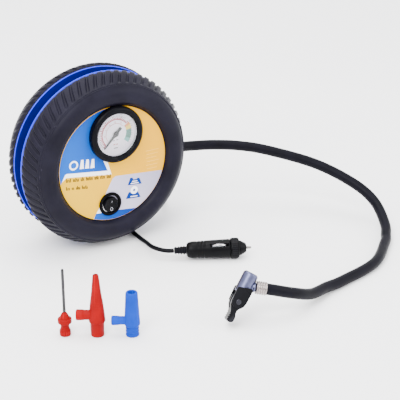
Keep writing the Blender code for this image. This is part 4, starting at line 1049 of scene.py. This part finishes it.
def lever(across, sideways):
    """Two cheeks along the head that join in a thumb paddle with ridges across it."""
    sign = facing(CHUCK_AXIS, sideways, across)
    pivot = CHUCK + CHUCK_AXIS * HINGE * MM
    outline = [(-4.2, -5.0), (-3.4, -5.5), (0.5, -5.7), (3.4, -4.9), (5.4, -3.3), (7.5, -2.4),
               (9.5, -2.6),
               (12.6, -3.6), (15.4, -3.8), (17.2, -3.2), (18.2, -1.4), (18.3, 0.1), (17.4, 1.7),
               (16, 2.2), (12, 2.1), (9.6, 2.2), (7, 3.4), (4.5, 4.8), (2, 5.3), (-3.4, 5.4), (-4.2, 4.9)]
    body = slab("lever_body", outline, pivot - across * 6.8 * MM, CHUCK_AXIS, sideways, 13.6 * sign,
                FINISHES["lever"], "lever")
    slot = oblong(-9, -10, 7.5, 10)
    cut(body, slab("slot", slot, pivot - across * 2.6 * MM, CHUCK_AXIS, sideways, 5.2 * sign,
                   FINISHES["lever"], "lever", smooth=None))
    for k in range(3):
        s = 11.2 + 1.9 * k
        groove = oblong(s, 1.55, s + 0.7, 4)
        cut(body, slab("ridge", groove, pivot - across * 8 * MM, CHUCK_AXIS, sideways, 16 * sign,
                       FINISHES["lever"], "lever", smooth=None))
    cheek = [(-14.6, -4.6), (-14.2, -6), (-12.8, -6.6), (-2, -6.5), (1.6, -5.8), (4, -4.3), (5, -2),
             (5, 2.2), (3.8, 4.4), (1, 5.8), (-9.6, 6.3), (-11.2, 5.9), (-11.8, 4.6)]
    cheeks = [slab("cheek", cheek, pivot + across * start * MM, CHUCK_AXIS, sideways, 1.6 * sign,
                   FINISHES["lever"], "lever", smooth=None) for start in (6.75, -8.35)]
    for part in (body, *cheeks):
        cut(part, turned("bore", [(-12, 0), (-12, 1.6), (12, 1.6), (12, 0)], pivot, across,
                         FINISHES["lever"], "lever", 32))
    merge(body, *cheeks)
    soften(body, 0.4, 3)
    return stand_for(body, "lever_black", "chuck_lever")


glands()
sleeve = ferrule()
chuck_pieces = chuck()


# ---- The plug

def contact_out(side):
    across = PLUG_AXIS.cross(Z).normalized()
    toward = across if across.y < 0 else -across
    a = math.radians(50)
    return (toward * math.cos(a) + Z * math.sin(a)) * side


def plug():
    profile = [(-11.4, 0), (-11.4, 2.7), (-11, 3)]
    for k in range(4):
        s, r = -10.4 + 2.5 * k, 3.4 + 0.22 * k
        profile += [(s, r), (s + 1.1, r), (s + 1.4, r - 0.7), (s + 2.1, r - 0.6)]
    profile += [(-0.3, 3.9), (-0.3, 0)]
    boot = turned("plug_relief", profile, PLUG, PLUG_AXIS, FINISHES["gland"], sides=48, round_mm=0.2)
    stand_for(boot, "plug_black", "plug_boot")
    profile = [(0, 0), (0, 5.4), (0.6, 6.3), (2, 7.2), (4.5, 7.8), (9, 7.95), (9.4, 7.6), (10.2, 7.6),
               (10.6, 8.0),
               (12.2, 8.05), (12.6, 7.7), (13.4, 7.7), (13.8, 8.1), (15.4, 8.15), (15.8, 7.8),
               (16.6, 7.8), (17, 8.2),
               (24, 8.4), (38.6, 8.75), (39.6, 8.6), (40, 8.2), (40, 4.3), (3.5, 4.3), (3.5, 0)]
    body = turned("plug_barrel", profile, PLUG, PLUG_AXIS, FINISHES["plug"], sides=96, round_mm=0.3)
    for side in (1, -1):
        out = contact_out(side)
        across = out.cross(PLUG_AXIS).normalized()
        outline = oblong(21, -1.5, 38.5, 1.5)
        depth = 12 * facing(PLUG_AXIS, across, out)
        cut(body, slab("window", outline, PLUG + out * 3.2 * MM, PLUG_AXIS, across, depth,
                       FINISHES["plug"], smooth=None))
    stand_for(body, "plug_black", "plug_body")
    made = [boot, body]
    for k, (side, body_name) in enumerate(((1, "contact_upper"), (-1, "contact_lower"))):
        out = contact_out(side)
        across = out.cross(PLUG_AXIS).normalized()
        bow = [(21 + 17 * t, 5.2 + 4.3 * math.sin(math.pi * t)) for t in (j / 24 for j in range(25))]
        inner = [(s, r - 0.7) for s, r in reversed(bow)]
        depth = 1.4 * facing(PLUG_AXIS, out, across)
        spring = slab(f"side_contact_{k + 1}", bow + inner, PLUG - across * 0.7 * MM, PLUG_AXIS, out,
                      depth, FINISHES["chrome"], body_name, 0.25)
        made.append(stand_for(spring, "tip_nickel", f"plug_contact_{k + 1}"))
    return made + plug_front()


def plug_front():
    ring = turned("plug_collar", [(40.3, 5.2), (40.3, 8.8), (40.7, 9.3), (41.6, 9.45), (46.8, 9.45),
                                  (47.7, 9.3),
                                  (48.1, 8.8), (48.1, 5.2)], PLUG, PLUG_AXIS, FINISHES["plug"], sides=96,
                  round_mm=0.3)
    merge(ring, *bars_round("knurl", 30, (41.8, 46.7), 0.45, PLUG, PLUG_AXIS, 9.3, 0.33,
                            FINISHES["plug"]))
    stand_for(ring, "plug_black", "plug_ring")
    nose = turned("plug_cone", [(48.4, 2.5), (48.4, 6.8), (48.8, 7.2), (51, 6.2), (53.6, 4.8),
                                (54.6, 4.1), (55, 3.6),
                                (55, 2.5)], PLUG, PLUG_AXIS, FINISHES["plug"], sides=72, round_mm=0.3)
    stand_for(nose, "plug_black", "plug_nose")
    tip = turned("plug_point", [(46, 0), (46, 3.8), (48.1, 3.8), (48.1, 2.2), (55.2, 2.2), (55.6, 1.3),
                                (59.2, 1.1), (59.7, 0.8),
                                (59.8, 0)], PLUG, PLUG_AXIS, FINISHES["nickel"], "tip", sides=48,
                 round_mm=0.3)
    stand_for(tip, "tip_nickel", "plug_tip")
    return [ring, nose, tip]


plug_pieces = plug()


# ---- The three adapters

BRANCH = Vector((-0.84, 0.543, 0)).normalized()


def branch(place, height, radius, reach, material, body):
    profile = [(2, radius - 0.4), (reach * 0.62, radius - 0.4), (reach * 0.66, radius - 0.1),
               (reach - 0.8, radius),
               (reach, radius - 0.6), (reach, radius - 1.5), (reach - 6, radius - 1.7), (reach - 6, 0)]
    return turned("branch", profile, place + Z * height * MM, BRANCH, material, body, 56, 0.35)


def needle_adapter():
    place = Vector((-115.4, -148.6, 0)) * MM
    profile = [(0, 2.2), (0, 4.1), (0.5, 4.5), (5, 4.5), (5.6, 4.2), (6.3, 3.75), (7.4, 3.6), (9.4, 3.55),
               (11.2, 3.7),
               (11.6, 4), (11.8, 5.5), (12.1, 5.8), (15.3, 5.8), (15.6, 5.5), (15.8, 4.2), (17, 3.9),
               (18.6, 3.3), (20.2, 2.4), (21.2, 1.7), (21.5, 1.4), (21.5, 0)]
    base = turned("needle_foot", profile, place, Z, FINISHES["red"], "needle_adapter", 64, 0.35)
    ribs = bars_round("rib", 14, (0.5, 4.8), 0.4, place, Z, 4.3, 0.35, FINISHES["red"], "needle_adapter")
    stand_for(merge(base, *ribs), "adapter_red", "needle_base")
    tube = [(21.8, 0), (21.8, 1.3), (24, 1.35), (24.4, 1.25), (58.8, 1.25), (60.2, 1.15), (60.8, 0.9),
            (61, 0.6), (61, 0)]
    stand_for(turned("needle_shaft", tube, place, Z, FINISHES["needle_steel"], "needle_adapter", 32, 0.3),
              "needle_steel", "needle_tube")


def cone_adapter():
    place = Vector((-93, -163, 0)) * MM
    profile = [(6, 0), (6, 3.4), (0, 3.6), (0, 5.2), (0.4, 5.6), (12.9, 5.8), (13.1, 6.2), (13.2, 6.8),
               (13.8, 6.9),
               (15, 6.9), (19, 6.5), (24, 6.1), (25, 5.95), (40, 4.1), (54.6, 2.6), (55.6, 2.3),
               (56, 1.9), (56, 1.2), (50, 1.0), (50, 0)]
    cone = turned("cone_body", profile, place, Z, FINISHES["red"], "cone_adapter", 72, 0.35)
    rings = []
    for z, r in ((27.5, 5.62), (29.6, 5.36), (31.7, 5.1)):
        rings.append(turned("ring", [(z, r - 0.4), (z, r + 0.14), (z + 0.7, r + 0.05),
                                     (z + 0.7, r - 0.4)], place, Z,
                            FINISHES["red"], "cone_adapter", 64, 0.12))
    merge(cone, branch(place, 18.8, 4.6, 17.3, FINISHES["red"], "cone_adapter"), *rings)
    stand_for(cone, "adapter_red", "cone_nozzle")


def blue_adapter():
    place = Vector((-68.9, -178.7, 0)) * MM
    profile = [(5, 0), (5, 3), (0, 3.2), (0, 5.2), (0.4, 5.6)]
    for k in range(3):
        s = 1.8 + 2.8 * k
        profile += [(s, 5.6), (s + 0.4, 5.05), (s + 1.5, 5.0), (s + 2.0, 5.6)]
    profile += [(10, 5.7), (10.2, 6.5), (11, 6.6), (18, 6.25), (30, 5.6), (38, 5.2), (39.4, 5.0),
                (40, 4.5), (40, 3.1), (34, 2.4), (34, 0)]
    nozzle = turned("blue_body", profile, place, Z, FINISHES["blue"], "blue_adapter", 72, 0.3)
    merge(nozzle, branch(place, 13.6, 4.0, 17.2, FINISHES["blue"], "blue_adapter"))
    stand_for(nozzle, "adapter_blue", "blue_nozzle")


needle_adapter()
cone_adapter()
blue_adapter()


# ---- Finishes for the CAD nodes that stay

INNER = {
    "gauge_case": FINISHES["case"],
    "switch_terminal_1": finish("terminal_brass", (0.75, 0.55, 0.25), 0.3, 1.0),
    "switch_terminal_2": finish("terminal_brass_2", (0.75, 0.55, 0.25), 0.3, 1.0),
    "motor_can": finish("motor_zinc", (0.6, 0.6, 0.6), 0.35, 1.0, patch=90),
    "motor_cap": finish("motor_end", (0.02, 0.02, 0.02), 0.5),
    "motor_shaft": FINISHES["steel"],
    "crank_gear": finish("gear_white", (0.75, 0.74, 0.68), 0.45, mottle=0.06),
    "crank_axle": FINISHES["steel"],
    "mechanism_frame": finish("frame_cast", (0.3, 0.3, 0.32), 0.45, 0.4, patch=120),
    "piston": finish("piston_ivory", (0.78, 0.76, 0.68), 0.4, mottle=0.06),
    "wrist_pin": FINISHES["steel"],
    "connecting_rod": finish("rod_alloy", (0.66, 0.66, 0.68), 0.35, 1.0),
    "cylinder": finish("cylinder_alloy", (0.68, 0.68, 0.7), 0.3, 1.0),
    "cylinder_head": finish("head_alloy", (0.62, 0.62, 0.64), 0.38, 1.0),
    "delivery_tube": finish("tube_milky", (0.72, 0.72, 0.68), 0.35, mottle=0.06),
    "gauge_tube": finish("tube_milky_2", (0.72, 0.72, 0.68), 0.35, mottle=0.06),
    "fuse": finish("fuse_body", (0.75, 0.8, 0.84), 0.12, mottle=0.06),
    "tip_spring": finish("spring_wire", (0.6, 0.6, 0.6), 0.25, 1.0),
}
for node_name, material in INNER.items():
    mesh = nodes[node_name].data
    mesh.materials.clear()
    mesh.materials.append(material)


# ---- The floor and the light

def floor_finish():
    made, shader = new_material("pale_floor")
    vector = place_node(made)
    cloud = noise_node(made, vector, 3)
    tone = blend_colours(made, remap(made, cloud, 0.3, 0.7, 0, 1), (0.93, 0.93, 0.935),
                         (0.95, 0.95, 0.95))
    link(made, tone, shader.inputs["Base Color"])
    shader.inputs["Roughness"].default_value = 0.85
    shader.inputs["Specular IOR Level"].default_value = 0.1
    return made


def floor():
    mesh = bpy.data.meshes.new("floor")
    mesh.from_pydata([(-6, -6, 0), (6, -6, 0), (6, 6, 0), (-6, 6, 0)], [], [[0, 1, 2, 3]])
    mesh.materials.append(floor_finish())
    in_scene("floor", mesh)


def area_light(name, place, target, size, power, colour=(1, 1, 1)):
    data = bpy.data.lights.new(name, "AREA")
    data.shape, data.size, data.energy, data.color = "SQUARE", size, power, colour
    obj = in_scene(name, data)
    obj.location = place
    look_along(obj, Vector(target) - Vector(place))


def sky():
    world = bpy.data.worlds.new("studio")
    bpy.context.scene.world = world
    world.use_nodes = True
    background = world.node_tree.nodes["Background"]
    background.inputs["Color"].default_value = (1.0, 1.0, 1.02, 1)
    background.inputs["Strength"].default_value = 2.6


floor()
area_light("key", (-1.1, -0.9, 1.6), (0, 0, 0.08), 1.0, 60)
area_light("fill", (1.3, -1.3, 1.0), (0, 0, 0.08), 1.2, 24)
area_light("top", (0.0, 0.3, 1.8), (0, 0, 0.05), 1.4, 44)
sky()
